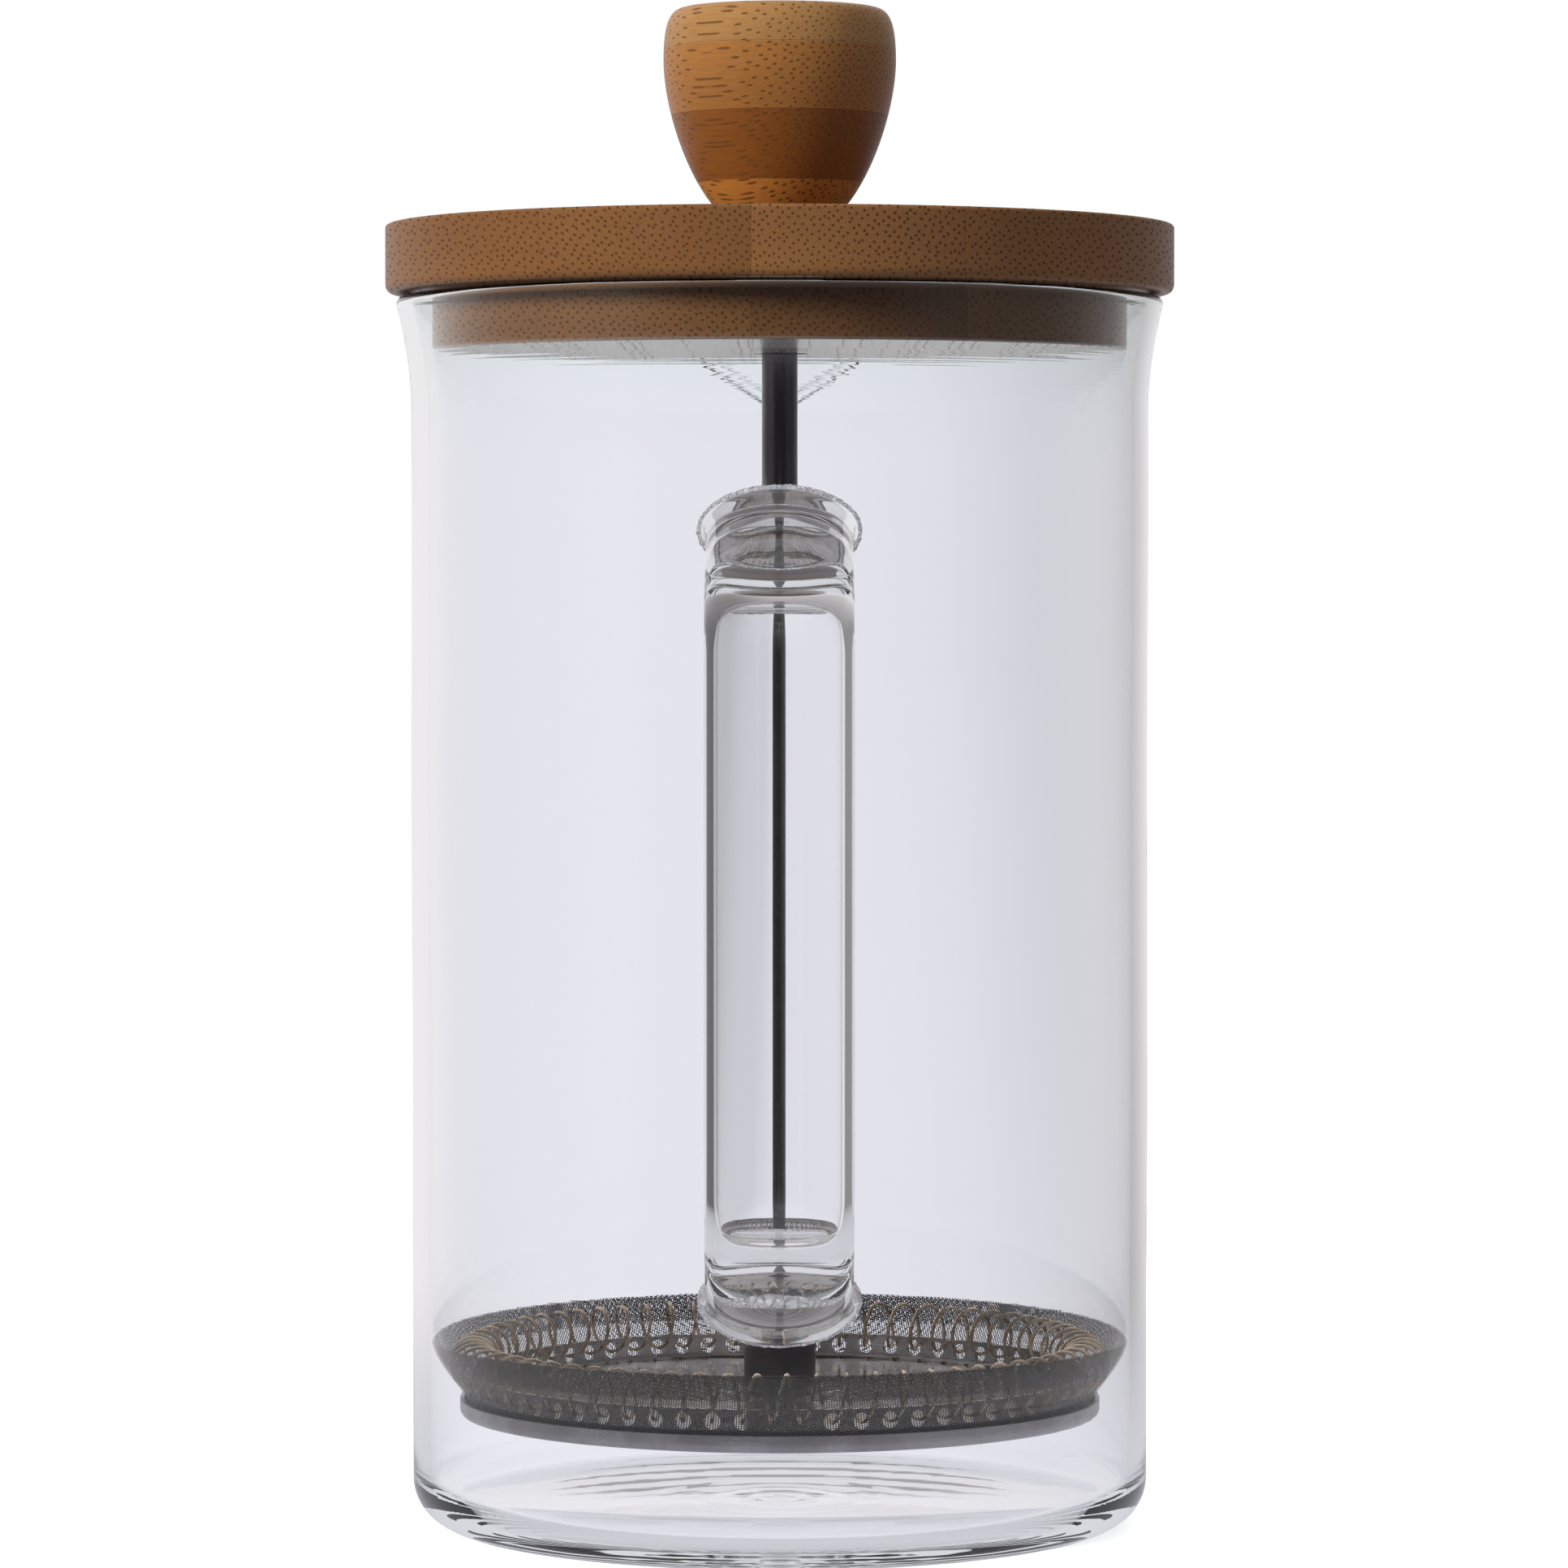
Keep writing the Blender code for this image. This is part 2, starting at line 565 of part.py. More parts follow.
clear_scene()
PRESS = new_collection("french_press")
CUTTERS = new_collection("cutters")
GLASS = finish("borosilicate_glass", (0.93, 0.95, 0.97), 0.0, 0.02, transmission=1.0)
BAMBOO = finish("bamboo", (0.36, 0.19, 0.08), 0.0, 0.55)
STEEL = finish("stainless_steel", (0.62, 0.61, 0.60), 1.0, 0.28)
DARK_STEEL = finish("dark_steel", (0.32, 0.30, 0.30), 1.0, 0.25)
WOVEN_STEEL = finish("woven_steel", (0.30, 0.29, 0.27), 1.0, 0.45)
SPRING_WIRE = finish("spring_wire", (0.42, 0.36, 0.29), 1.0, 0.30)
BRASS = finish("brass", (0.72, 0.55, 0.28), 1.0, 0.35)

lid_axis = axis_empty("lid_axis")
plunger_axis = axis_empty("plunger_axis", lid_axis)
knob_axis = axis_empty("knob_axis", plunger_axis)
pan_axis = axis_empty("pan_axis", plunger_axis)

make_beaker()
make_handle()
make_lid(lid_axis)
make_knob(knob_axis)
make_rod(plunger_axis)
make_spring_plate(plunger_axis)
make_coil_spring(plunger_axis)
make_mesh_dish(plunger_axis)
make_pan(pan_axis)
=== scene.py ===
# %% [markdown]
# # A glass french press with a bamboo lid
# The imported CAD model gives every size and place. This lesson builds the fine surfaces around it:
# blown glass with a melted-on handle, end-grain bamboo, and a filter of wire cloth, spring and sheet.
# We load the model first, because each new piece takes its measures from it.

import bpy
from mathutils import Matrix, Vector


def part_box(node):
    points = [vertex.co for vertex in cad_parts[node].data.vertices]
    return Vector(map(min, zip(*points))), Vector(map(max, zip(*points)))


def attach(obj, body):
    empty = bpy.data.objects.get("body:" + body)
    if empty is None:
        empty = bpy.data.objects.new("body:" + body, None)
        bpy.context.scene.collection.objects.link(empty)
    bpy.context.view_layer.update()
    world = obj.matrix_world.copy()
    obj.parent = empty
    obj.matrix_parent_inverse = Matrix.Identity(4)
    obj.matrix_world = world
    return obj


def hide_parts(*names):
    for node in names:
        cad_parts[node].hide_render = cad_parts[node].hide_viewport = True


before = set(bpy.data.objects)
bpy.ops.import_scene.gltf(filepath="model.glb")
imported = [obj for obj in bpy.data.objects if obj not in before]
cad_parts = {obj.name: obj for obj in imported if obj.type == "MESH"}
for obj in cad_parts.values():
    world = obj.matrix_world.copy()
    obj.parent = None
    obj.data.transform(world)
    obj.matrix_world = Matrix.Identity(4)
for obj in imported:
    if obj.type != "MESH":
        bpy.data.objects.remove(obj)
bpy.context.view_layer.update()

# %% Libraries
import math

import bmesh
import bpy
import numpy as np
from mathutils import Matrix, Vector

TURN = 2 * math.pi

# %% [markdown]
# ## The measures of the real press
# A round piece needs only three numbers: how far it reaches from the axis, its foot and its top.
# They are read from the model's boxes, so a change of size there changes everything here.


# %% Sizes read from the model
def measure(node):
    """Reach from the Z axis, lowest Z and highest Z of a round node."""
    low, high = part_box(node)
    return high.x, low.z, high.z


rim_reach, _, beaker_height = measure("glass_beaker")
lid_reach, lid_foot, lid_top = measure("lid_disc")
plug_reach, plug_foot, plug_top = measure("lid_plug")
knob_reach, knob_foot, knob_top = measure("knob")
insert_reach, _, insert_top = measure("knob_insert")
rod_reach, rod_foot, rod_top = measure("plunger_rod")
collar_reach, collar_foot, collar_top = measure("rod_collar")
plate_reach, plate_foot, plate_top = measure("spring_plate")
mesh_reach, mesh_foot, mesh_top = measure("filter_mesh")
pan_reach, pan_foot, pan_top = measure("cross_plate")
nut_reach, nut_foot, nut_top = measure("plate_nut")
sleeve_reach, _, _ = measure("rod_sleeve")
print(f"beaker {beaker_height:.4f} m high, lid {2 * lid_reach:.4f} m across")

# %% [markdown]
# ## The stage
# Product pictures of glass are lit from behind: a bright backdrop shows through the glass, and a
# dark room in front keeps its surface clean. One sky does all of it by asking what kind of ray is
# looking: the eye sees white, rays that only passed through glass see the pale backdrop with thin
# dark cards, rays that bounced off something see the room, and matt surfaces get a soft fill.


# %% Small helpers for node trees
class Value:
    """A number that nodes work out. Plain arithmetic with it makes one Math node for each sign."""

    def __init__(self, tree, socket):
        self.tree, self.socket = tree, socket

    def __add__(self, other):
        return calc(self.tree, "ADD", self, other)

    def __sub__(self, other):
        return calc(self.tree, "SUBTRACT", self, other)

    def __rsub__(self, other):
        return calc(self.tree, "SUBTRACT", other, self)

    def __mul__(self, other):
        return calc(self.tree, "MULTIPLY", self, other)

    def __truediv__(self, other):
        return calc(self.tree, "DIVIDE", self, other)

    def __rtruediv__(self, other):
        return calc(self.tree, "DIVIDE", other, self)

    def __abs__(self):
        return calc(self.tree, "ABSOLUTE", self)


def put(tree, socket, value):
    """Links a socket, or sets a plain value."""
    value = getattr(value, "socket", value)
    if isinstance(value, bpy.types.NodeSocket):
        tree.links.new(value, socket)
    else:
        socket.default_value = value


def add_node(tree, kind, inputs=None, **settings):
    """A shader node with its settings, and its inputs given by name or number."""
    made = tree.nodes.new("ShaderNode" + kind)
    for name, value in settings.items():
        setattr(made, name, value)
    for key, value in (inputs or {}).items():
        put(tree, made.inputs[key], value)
    return made


def calc(tree, operation, *values):
    """One Math node."""
    made = add_node(tree, "Math", dict(enumerate(values)), operation=operation)
    return Value(tree, made.outputs[0])


def step(tree, value, low, high, start=0.0, end=1.0):
    """A smooth step from start to end while value goes from low to high."""
    inputs = dict(enumerate((value, low, high, start, end)))
    made = add_node(tree, "MapRange", inputs, interpolation_type="SMOOTHSTEP")
    return Value(tree, made.outputs[0])


def blend(tree, share, first, second, kind="MIX"):
    """Mixes two colours."""
    inputs = {0: share, 6: first, 7: second}
    return add_node(tree, "Mix", inputs, data_type="RGBA", blend_type=kind).outputs[2]


def split(tree, vector):
    """The X, Y and Z of a vector."""
    return [Value(tree, way) for way in add_node(tree, "SeparateXYZ", {0: vector}).outputs]


def point(tree, x, y, z=0.0):
    """A vector from three numbers or sockets."""
    return add_node(tree, "CombineXYZ", {0: x, 1: y, 2: z}).outputs[0]


def cloud(tree, vector, scale, detail=2.0, rough=0.5):
    """Noise between 0 and 1."""
    inputs = {"Vector": vector, "Scale": scale, "Detail": detail, "Roughness": rough}
    return Value(tree, add_node(tree, "TexNoise", inputs).outputs[0])


def off_axis(tree, x, y):
    """Distance from the Z axis."""
    return calc(tree, "SQRT", x * x + y * y)


# %% The tones of the studio
EYE = Vector((0.0005, -0.740, 0.1115))
WHITE = (1.0, 1.0, 1.0, 1.0)
BACKDROP = (0.905, 0.905, 0.975, 1.0)
ROOM_BACK = (0.90, 0.87, 0.88, 1.0)
ROOM_SIDE = (0.26, 0.25, 0.26, 1.0)
ROOM_FRONT = (0.045, 0.040, 0.045, 1.0)
PIPED = (0.70, 0.71, 0.75, 1.0)  # light that was led round inside the glass
FILL = (0.38, 0.38, 0.40, 1.0)
CARDS = 8  # dark cards, set evenly round the table but for the ones behind the press
CARD_SHADE = 0.16


def side_shade(tree, x):
    """The backdrop's light falls off to the right: a first step close by, a second one further."""
    middle = step(tree, x, 0.0, 0.09, 1.0, 0.82)
    return middle * step(tree, x, 0.09, 0.5, 1.0, 0.75)


def card_shade(tree, x, y):
    """Dark cards by the compass direction, left out straight behind the press."""
    compass = calc(tree, "ARCTAN2", x, y)
    between = calc(tree, "COSINE", compass * float(CARDS))
    card = step(tree, between, -1.0, -0.55, CARD_SHADE, 1.0)
    behind = step(tree, abs(compass), 0.5, 0.8, 1.0, 0.0)
    return calc(tree, "MAXIMUM", card, behind)


def room_tone(tree, x, y, z):
    """Dark straight in front of the press, middling round it, pale behind it, darker on the right."""
    level = step(tree, abs(z), 0.15, 0.4, 1.0, 0.0)
    front = level * step(tree, y, -0.95, -0.6, 1.0, 0.0)
    tone = blend(tree, front, ROOM_SIDE, ROOM_FRONT)
    tone = blend(tree, step(tree, y, -0.1, 0.95), tone, ROOM_BACK)
    return blend(tree, 1.0, tone, step(tree, x, 0.0, 0.8, 1.0, 0.45), "MULTIPLY")


def by_ray(tree, clear, room):
    """clear for a ray that only passed through glass, room after one reflection, PIPED after more,
    FILL from a matt surface."""
    path = add_node(tree, "LightPath").outputs
    bounced = calc(tree, "GREATER_THAN", path["Glossy Depth"], 0.5)
    led_round = calc(tree, "GREATER_THAN", path["Glossy Depth"], 1.5)
    matt = calc(tree, "GREATER_THAN", path["Diffuse Depth"], 0.5)
    colour = blend(tree, bounced, clear, room)
    colour = blend(tree, led_round, colour, PIPED)
    return path["Is Camera Ray"], blend(tree, matt, colour, FILL)


# %% The sky of the studio
def studio_sky():
    """World shader: colour by the ray's kind and direction."""
    world = bpy.data.worlds.new("studio")
    bpy.context.scene.world = world
    world.use_nodes = True
    tree = world.node_tree
    tree.nodes.clear()
    x, y, z = split(tree, add_node(tree, "TexCoord").outputs["Generated"])
    shade = card_shade(tree, x, y) * side_shade(tree, x)
    backdrop = blend(tree, 1.0, BACKDROP, shade, "MULTIPLY")
    eye, colour = by_ray(tree, backdrop, room_tone(tree, x, y, z))
    background = add_node(tree, "Background", {0: blend(tree, eye, colour, WHITE)})
    output = add_node(tree, "OutputWorld")
    tree.links.new(background.outputs[0], output.inputs[0])
    world.cycles.sampling_method = "NONE"


bpy.context.scene.view_settings.view_transform = "Standard"
bpy.context.scene.cycles.glossy_bounces = 24  # light runs a long way inside the beaker's base
bpy.context.scene.cycles.max_bounces = 32
studio_sky()

# %% [markdown]
# The table is one wide disc. Seen directly it is white with a soft contact shade, and plain white
# further away. Through glass it has the backdrop's tone, so that no horizon shows in the beaker, and
# the dark cards shade it only further out. In a reflection it is bright only close to the press.

# %% The table
TABLE_RADIUS = 6.0
TABLE_NEAR = (0.62, 0.62, 0.67, 1.0)
TABLE_GLOW = 0.60
TABLE_DROP = 0.0002  # below the press, so that the two surfaces never coincide


def table_finish():
    """White card for the eye, a glow by the ray's kind for all others."""
    material = bpy.data.materials.new("table_card")
    material.use_nodes = True
    tree = material.node_tree
    tree.nodes.clear()
    place_at = add_node(tree, "TexCoord").outputs["Object"]
    x, y, _ = split(tree, place_at)
    radius = calc(tree, "MAXIMUM", off_axis(tree, x, y), 0.001)
    paper = blend(tree, cloud(tree, place_at, 900.0), (0.88, 0.88, 0.88, 1), (0.92, 0.92, 0.92, 1))
    card = add_node(tree, "BsdfPrincipled", {
        "Base Color": paper, "Roughness": 0.9, "Specular IOR Level": 0.0,
        "Emission Color": WHITE, "Emission Strength": TABLE_GLOW,
    })
    white = add_node(tree, "Emission")
    far = step(tree, radius, 0.14, 0.40)
    seen = add_node(tree, "MixShader", {0: far, 1: card.outputs[0], 2: white.outputs[0]})
    beyond = calc(tree, "MAXIMUM", y - EYE.y, 0.2)
    cards = calc(tree, "MAXIMUM", card_shade(tree, x, y), step(tree, radius, 0.40, 1.20, 1.0, 0.0))
    shade = cards * side_shade(tree, x / beyond)
    clear = blend(tree, 1.0, BACKDROP, shade, "MULTIPLY")
    room = room_tone(tree, x / radius, y / radius, 0.0)
    room = blend(tree, step(tree, radius, 0.05, 0.30, 1.0, 0.0), room, TABLE_NEAR)
    eye, colour = by_ray(tree, clear, room)
    glow = add_node(tree, "Emission", {0: colour})
    mixed = add_node(tree, "MixShader", {0: eye, 1: glow.outputs[0], 2: seen.outputs[0]})
    add_node(tree, "OutputMaterial", {0: mixed.outputs[0]})
    material.cycles.emission_sampling = "NONE"
    return material


bpy.ops.mesh.primitive_circle_add(vertices=96, radius=TABLE_RADIUS, fill_type="NGON")
table = bpy.context.object
table.name = "table"
table.location.z = -TABLE_DROP
table.data.materials.append(table_finish())

# %% [markdown]
# The eye stands a little below the lid and looks very slightly down, so the lid's underside shows
# through the glass. The main lamp is low, in front and to the left: it shades the plug under the
# lid's overhang. Lamps are kept out of glass and gloss, which would show them as bright squares.

# %% Camera and lamps
EYE_PITCH = 1.913  # degrees below the horizon
LENS = 144.8

camera = bpy.data.objects.new("camera", bpy.data.cameras.new("camera"))
camera.data.lens = LENS
camera.data.sensor_width = 36.0
camera.location = EYE
camera.rotation_euler = (math.radians(90 - EYE_PITCH), 0.0, 0.0)
bpy.context.scene.collection.objects.link(camera)
bpy.context.scene.camera = camera


def lamp(name, compass, height, distance, size, power, colour):
    """A square lamp that looks at the press: compass degrees from the eye's side towards +X."""
    light = bpy.data.lights.new(name, "AREA")
    light.size = size
    light.energy = power
    light.color = colour
    obj = bpy.data.objects.new(name, light)
    turn, rise = math.radians(compass), math.radians(height)
    flat = math.cos(rise)
    way = Vector((math.sin(turn) * flat, -math.cos(turn) * flat, math.sin(rise)))
    aim = Vector((0.0, 0.0, 0.10))
    obj.location = aim + way * distance
    obj.rotation_euler = (-way).to_track_quat("-Z", "Y").to_euler()
    obj.visible_glossy = False
    obj.visible_transmission = False
    bpy.context.scene.collection.objects.link(obj)


lamp("main_lamp", -56, 22, 1.5, 0.40, 27.0, (1.0, 0.96, 0.90))
lamp("top_lamp", -20, 74, 1.4, 0.50, 6.0, (1.0, 0.98, 0.96))
lamp("back_lamp", 160, 35, 1.5, 0.60, 7.0, (0.95, 0.97, 1.0))

# %% [markdown]
# ## Surfaces from arrays
# Nearly every piece here is turned on a lathe, drawn along a path or pressed from sheet. Each is a
# grid of points worked out with numpy, whose neighbours become faces. A turned piece needs a
# profile: a list of corners, each softened by a short curve, with extra points on long sides.


# %% Grid, profile and lathe
def surface(name, points, closed_rows=True, flat=None):
    """Mesh of a grid: vertex (i, j) is points[i, j], and four neighbours make a face. Doubled points
    at seams and poles are merged, and the faces are turned outwards. flat gives a UV to each point."""
    rows, columns = points.shape[:2]
    i, j = np.meshgrid(np.arange(rows - (not closed_rows)), np.arange(columns), indexing="ij")
    corners = ((i, j), (i, j + 1), (i + 1, j + 1), (i + 1, j))
    faces = np.stack([(a % rows) * columns + b % columns for a, b in corners], -1)
    mesh = bpy.data.meshes.new(name)
    mesh.vertices.add(rows * columns)
    mesh.vertices.foreach_set("co", points.reshape(-1).astype(np.float32))
    mesh.loops.add(faces.size)
    mesh.loops.foreach_set("vertex_index", faces.reshape(-1).astype(np.int32))
    mesh.polygons.add(faces.size // 4)
    mesh.polygons.foreach_set("loop_start", np.arange(0, faces.size, 4, dtype=np.int32))
    mesh.update(calc_edges=True)
    if flat is not None:
        layer = mesh.uv_layers.new(name="flat")
        layer.data.foreach_set("uv", flat.reshape(-1, 2)[faces.reshape(-1)].reshape(-1))
    return tidied(mesh)


def tidied(mesh, sharp=40.0):
    """Merges doubled points, faces the normals outwards and shades smooth below the sharp angle."""
    work = bmesh.new()
    work.from_mesh(mesh)
    bmesh.ops.remove_doubles(work, verts=work.verts, dist=1e-6)
    bmesh.ops.recalc_face_normals(work, faces=work.faces)
    work.to_mesh(mesh)
    work.free()
    mesh.polygons.foreach_set("use_smooth", np.ones(len(mesh.polygons), bool))
    mesh.set_sharp_from_angle(angle=math.radians(sharp))
    return mesh


def unit(vectors):
    """The same directions, each of length 1."""
    return vectors / np.linalg.norm(vectors, axis=1, keepdims=True)


def distance_along(line):
    """How far along a line each of its points is."""
    return np.r_[0, np.cumsum(np.linalg.norm(np.diff(line, axis=0), axis=1))]


def softened(corners, cuts, steps=7):
    """Corners P with each cut back along both sides: P + (1 - s)^2 a + s^2 b, where a and b are the
    two sides' directions times the cut, runs smoothly from one side to the other."""
    corners = np.asarray(corners, float)
    cuts = np.broadcast_to(np.asarray(cuts, float), len(corners))[:, None]
    before = np.roll(corners, 1, 0) - corners
    after = np.roll(corners, -1, 0) - corners
    before *= cuts / np.linalg.norm(before, axis=1, keepdims=True)
    after *= cuts / np.linalg.norm(after, axis=1, keepdims=True)
    s = np.linspace(0, 1, steps)[None, :, None]
    curve = corners[:, None] + (1 - s) ** 2 * before[:, None] + s**2 * after[:, None]
    return curve.reshape(-1, 2)


def filled(line, spacing):
    """The same line with more points: its own, and one at each spacing along its length."""
    length = distance_along(line)
    at = np.union1d(np.round(length, 9), np.arange(0, length[-1], spacing))
    return np.stack([np.interp(at, length, line[:, k]) for k in (0, 1)], -1)


def round_axis(radius, height, angle):
    """Points x = r cos a, y = r sin a, for columns of radius and height and a row of angles."""
    return np.stack([radius * np.cos(angle), radius * np.sin(angle), height + 0 * angle], -1)


def turned(name, profile, columns=160, closed=True):
    """Profile (r, z) carried round the Z axis."""
    angle = np.linspace(0, TURN, columns, endpoint=False)
    return surface(name, round_axis(profile[:, :1], profile[:, 1:], angle), closed_rows=closed)


def turned_ring(name, corners, cuts, steps, spacing, columns):
    """A turned piece with a bore: its softened corners close to a ring."""
    profile = softened(corners, cuts, steps)
    return turned(name, filled(np.r_[profile, profile[:1]], spacing), columns)


def tube(line, along, outward, radius, sides):
    """Rings round a line: line + radius * (cos a * outward + sin a * the way square to it)."""
    turn = np.linspace(0, TURN, sides, endpoint=False)[None, :, None]
    side = np.cross(along, outward)
    return line[:, None] + radius * (np.cos(turn) * outward[:, None] + np.sin(turn) * side[:, None])


def capped(points):
    """Rings with both ends closed to a point in the middle of the end ring."""
    first, last = (np.broadcast_to(points[k].mean(0), points[:1].shape) for k in (0, -1))
    return np.concatenate([first, points, last])


def sheet(line, thickness):
    """Closed outline of sheet metal round a middle line: half the thickness to each side along the
    line's normals, out on one side and back on the other."""
    along = unit(np.gradient(line, axis=0))
    normal = np.stack([along[:, 1], -along[:, 0]], -1) * thickness / 2
    return np.concatenate([line + normal, (line - normal)[::-1]])


def arc(radius, height, size, start, end, steps):
    """Points on a circle of that size round (radius, height), between two angles in degrees."""
    angle = np.radians(np.linspace(start, end, steps))
    return np.stack([radius + size * np.cos(angle), height + size * np.sin(angle)], -1)


def bezier(p0, p1, p2, p3, steps):
    """Cubic curve between p0 and p3, pulled towards p1 and p2."""
    t = np.linspace(0, 1, steps)[:, None]
    p0, p1, p2, p3 = (np.asarray(p, float) for p in (p0, p1, p2, p3))
    return (1 - t) ** 3 * p0 + 3 * t * (1 - t) ** 2 * p1 + 3 * t**2 * (1 - t) * p2 + t**3 * p3


# %% [markdown]
# Every finished piece is tied to the body that it moves with, and to the plain CAD nodes that it
# stands for. Holes and welds are Booleans, made solid at once.

# %% Placing and cutting pieces
GAP = 0.0003  # between pieces that touch
SCREWED = 0.00005  # the gap round the rod where a piece is fixed to it
PRESS = bpy.data.collections.new("french_press")
bpy.context.scene.collection.children.link(PRESS)


def place(name, mesh, material, body, slot, *nodes):
    """Adds a finished piece, and says what it rides on and replaces."""
    obj = bpy.data.objects.new(name, mesh)
    PRESS.objects.link(obj)
    mesh.materials.clear()
    mesh.materials.append(material)
    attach(obj, body)
    if nodes:
        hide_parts(*nodes)
    print(f"{name}: {len(mesh.polygons)} faces on {body}")


def combined(mesh, other, operation, sharp=40.0):
    """Boolean of two closed meshes, made into one mesh."""
    pair = [bpy.data.objects.new(part.name, part) for part in (mesh, other)]
    for obj in pair:
        bpy.context.scene.collection.objects.link(obj)
    modifier = pair[0].modifiers.new("join", "BOOLEAN")
    modifier.operation = operation
    modifier.solver = "MANIFOLD"
    modifier.object = pair[1]
    graph = bpy.context.evaluated_depsgraph_get()
    made = bpy.data.meshes.new_from_object(pair[0].evaluated_get(graph))
    for obj in pair:
        bpy.data.objects.remove(obj)
    return tidied(made, sharp)


def drilled(mesh, places, radius, depth, sides=24):
    """The mesh with a round hole at each matrix, drilled along the matrix's Z."""
    work = bmesh.new()
    for matrix in places:
        bmesh.ops.create_cone(
            work, cap_ends=True, segments=sides, radius1=radius, radius2=radius,
            depth=depth, matrix=matrix,
        )
    drills = bpy.data.meshes.new("drills")
    work.to_mesh(drills)
    work.free()
    return combined(mesh, drills, "DIFFERENCE")


# %% [markdown]
# ## Glass
# Borosilicate glass is almost colourless, with a hint of green where one looks along it. Its bumps
# are slow waves from blowing, and fine lines near the rim, where a tool rolled it wider. A lamp's
# shadow ray passes straight through, because bent light would need far more samples.


# %% Materials start here
GLASS_IOR = 1.47


def new_finish(name, settings=None):
    """A material with only a Principled shader: material, tree, shader, object position."""
    material = bpy.data.materials.new(name)
    material.use_nodes = True
    tree = material.node_tree
    tree.nodes.clear()
    shader = add_node(tree, "BsdfPrincipled", settings)
    add_node(tree, "OutputMaterial", {0: shader.outputs[0]})
    return material, tree, shader, add_node(tree, "TexCoord").outputs["Object"]


def raise_surface(tree, shader, height, depth):
    """Bump of that depth in metres, for a height between 0 and 1."""
    bump = add_node(tree, "Bump", {"Strength": 1.0, "Distance": depth, "Height": height})
    tree.links.new(bump.outputs[0], shader.inputs["Normal"])


def let_lamps_through(tree, shader):
    """Shadow rays see a clear surface."""
    output = next(n for n in tree.nodes if n.bl_idname == "ShaderNodeOutputMaterial")
    clear = add_node(tree, "BsdfTransparent", {0: (0.93, 0.94, 0.95, 1.0)})
    shadow = add_node(tree, "LightPath").outputs["Is Shadow Ray"]
    inputs = {0: shadow, 1: shader.outputs[0], 2: clear.outputs[0]}
    mixed = add_node(tree, "MixShader", inputs)
    tree.links.new(mixed.outputs[0], output.inputs[0])


def blown_glass():
    """Clear glass, with rolled lines below the rim and slow waves all over."""
    settings = {"Transmission Weight": 1.0, "IOR": GLASS_IOR, "Roughness": 0.0}
    material, tree, shader, place_at = new_finish("blown_glass", settings)
    x, _, z = split(tree, place_at)
    near_rim = step(tree, z, beaker_height - 0.020, beaker_height - 0.006)
    tint = blend(tree, near_rim, (0.985, 0.988, 0.990, 1), (0.955, 0.982, 0.975, 1))
    put(tree, shader.inputs["Base Color"], tint)
    lines = cloud(tree, point(tree, x * 12.0, 0.0, z * 1500.0), 1.0)
    lines = lines * (near_rim * 0.9 + 0.1)
    waves = cloud(tree, place_at, 55.0, 1.0)
    raise_surface(tree, shader, lines + waves, 1.6e-05)
    let_lamps_through(tree, shader)
    return material


def weld_glass():
    """The white, crackled bead where the hot handle was pressed on."""
    settings = {"Transmission Weight": 0.8, "IOR": GLASS_IOR}
    material, tree, shader, place_at = new_finish("weld_glass", settings)
    cells = add_node(
        tree, "TexVoronoi", {"Vector": place_at, "Scale": 1700.0}, feature="DISTANCE_TO_EDGE"
    ).outputs["Distance"]
    crackle = step(tree, cells, 0.0, 0.18)
    tint = blend(tree, crackle, (0.72, 0.72, 0.78, 1), (0.96, 0.96, 0.98, 1))
    put(tree, shader.inputs["Base Color"], tint)
    dull = step(tree, cloud(tree, place_at, 900.0), 0.3, 0.7, 0.12, 0.38)
    put(tree, shader.inputs["Roughness"], dull)
    raise_surface(tree, shader, crackle, 0.00012)
    let_lamps_through(tree, shader)
    return material


GLASS, WELD = blown_glass(), weld_glass()

# %% [markdown]
# The beaker is one turned wall: floor, inner corner, wall, fire-polished lip, and back down to the
# foot, whose middle is pushed up a little so that it stands on a ring. The spout is pressed in while
# hot, so each point near the back of the rim moves out by an amount that grows towards the lip.

# %% The beaker
GLASS_WALL = 0.0019
FLARE_HEIGHT, FLARE_OUT, FLARE_POWER = 0.0130, 0.0020, 1.8
BASE_THICKNESS, BASE_CORNER = 0.0030, 0.0056
PUSH_UP = 0.0007  # how far the middle of the foot is raised
SPOUT_HEIGHT, SPOUT_HALF_WIDTH, SPOUT_OUT, SPOUT_POWER = 0.0122, 0.0187, 0.0044, 1.3
SPOUT_INNER_LAG, SPOUT_INNER_NARROW = 0.0012, 0.08  # the pinch starts later inside, and is narrower
WAVINESS = 0.00003
FLOOR_ROWS, CORNER_ROWS, WALL_ROWS, RIM_ROWS, LIP_ROWS = 26, 12, 64, 26, 14
wall_reach = rim_reach - FLARE_OUT * (1 - GLASS_WALL / 2 / FLARE_HEIGHT) ** FLARE_POWER
lip_height = beaker_height - GLASS_WALL / 2


def outside_of_wall(height):
    """Radius of the wall: straight, then flaring with a power of the height above the flare's foot."""
    above = np.clip(height - (beaker_height - FLARE_HEIGHT), 0, None) / FLARE_HEIGHT
    return wall_reach + FLARE_OUT * above**FLARE_POWER


def ripples(radius, size, pitch, fade):
    """Rings that die out away from the axis: size * cos(2 pi r / pitch) * exp(-(r / fade)^2)."""
    return size * np.cos(radius / pitch * TURN) * np.exp(-((radius / fade) ** 2))


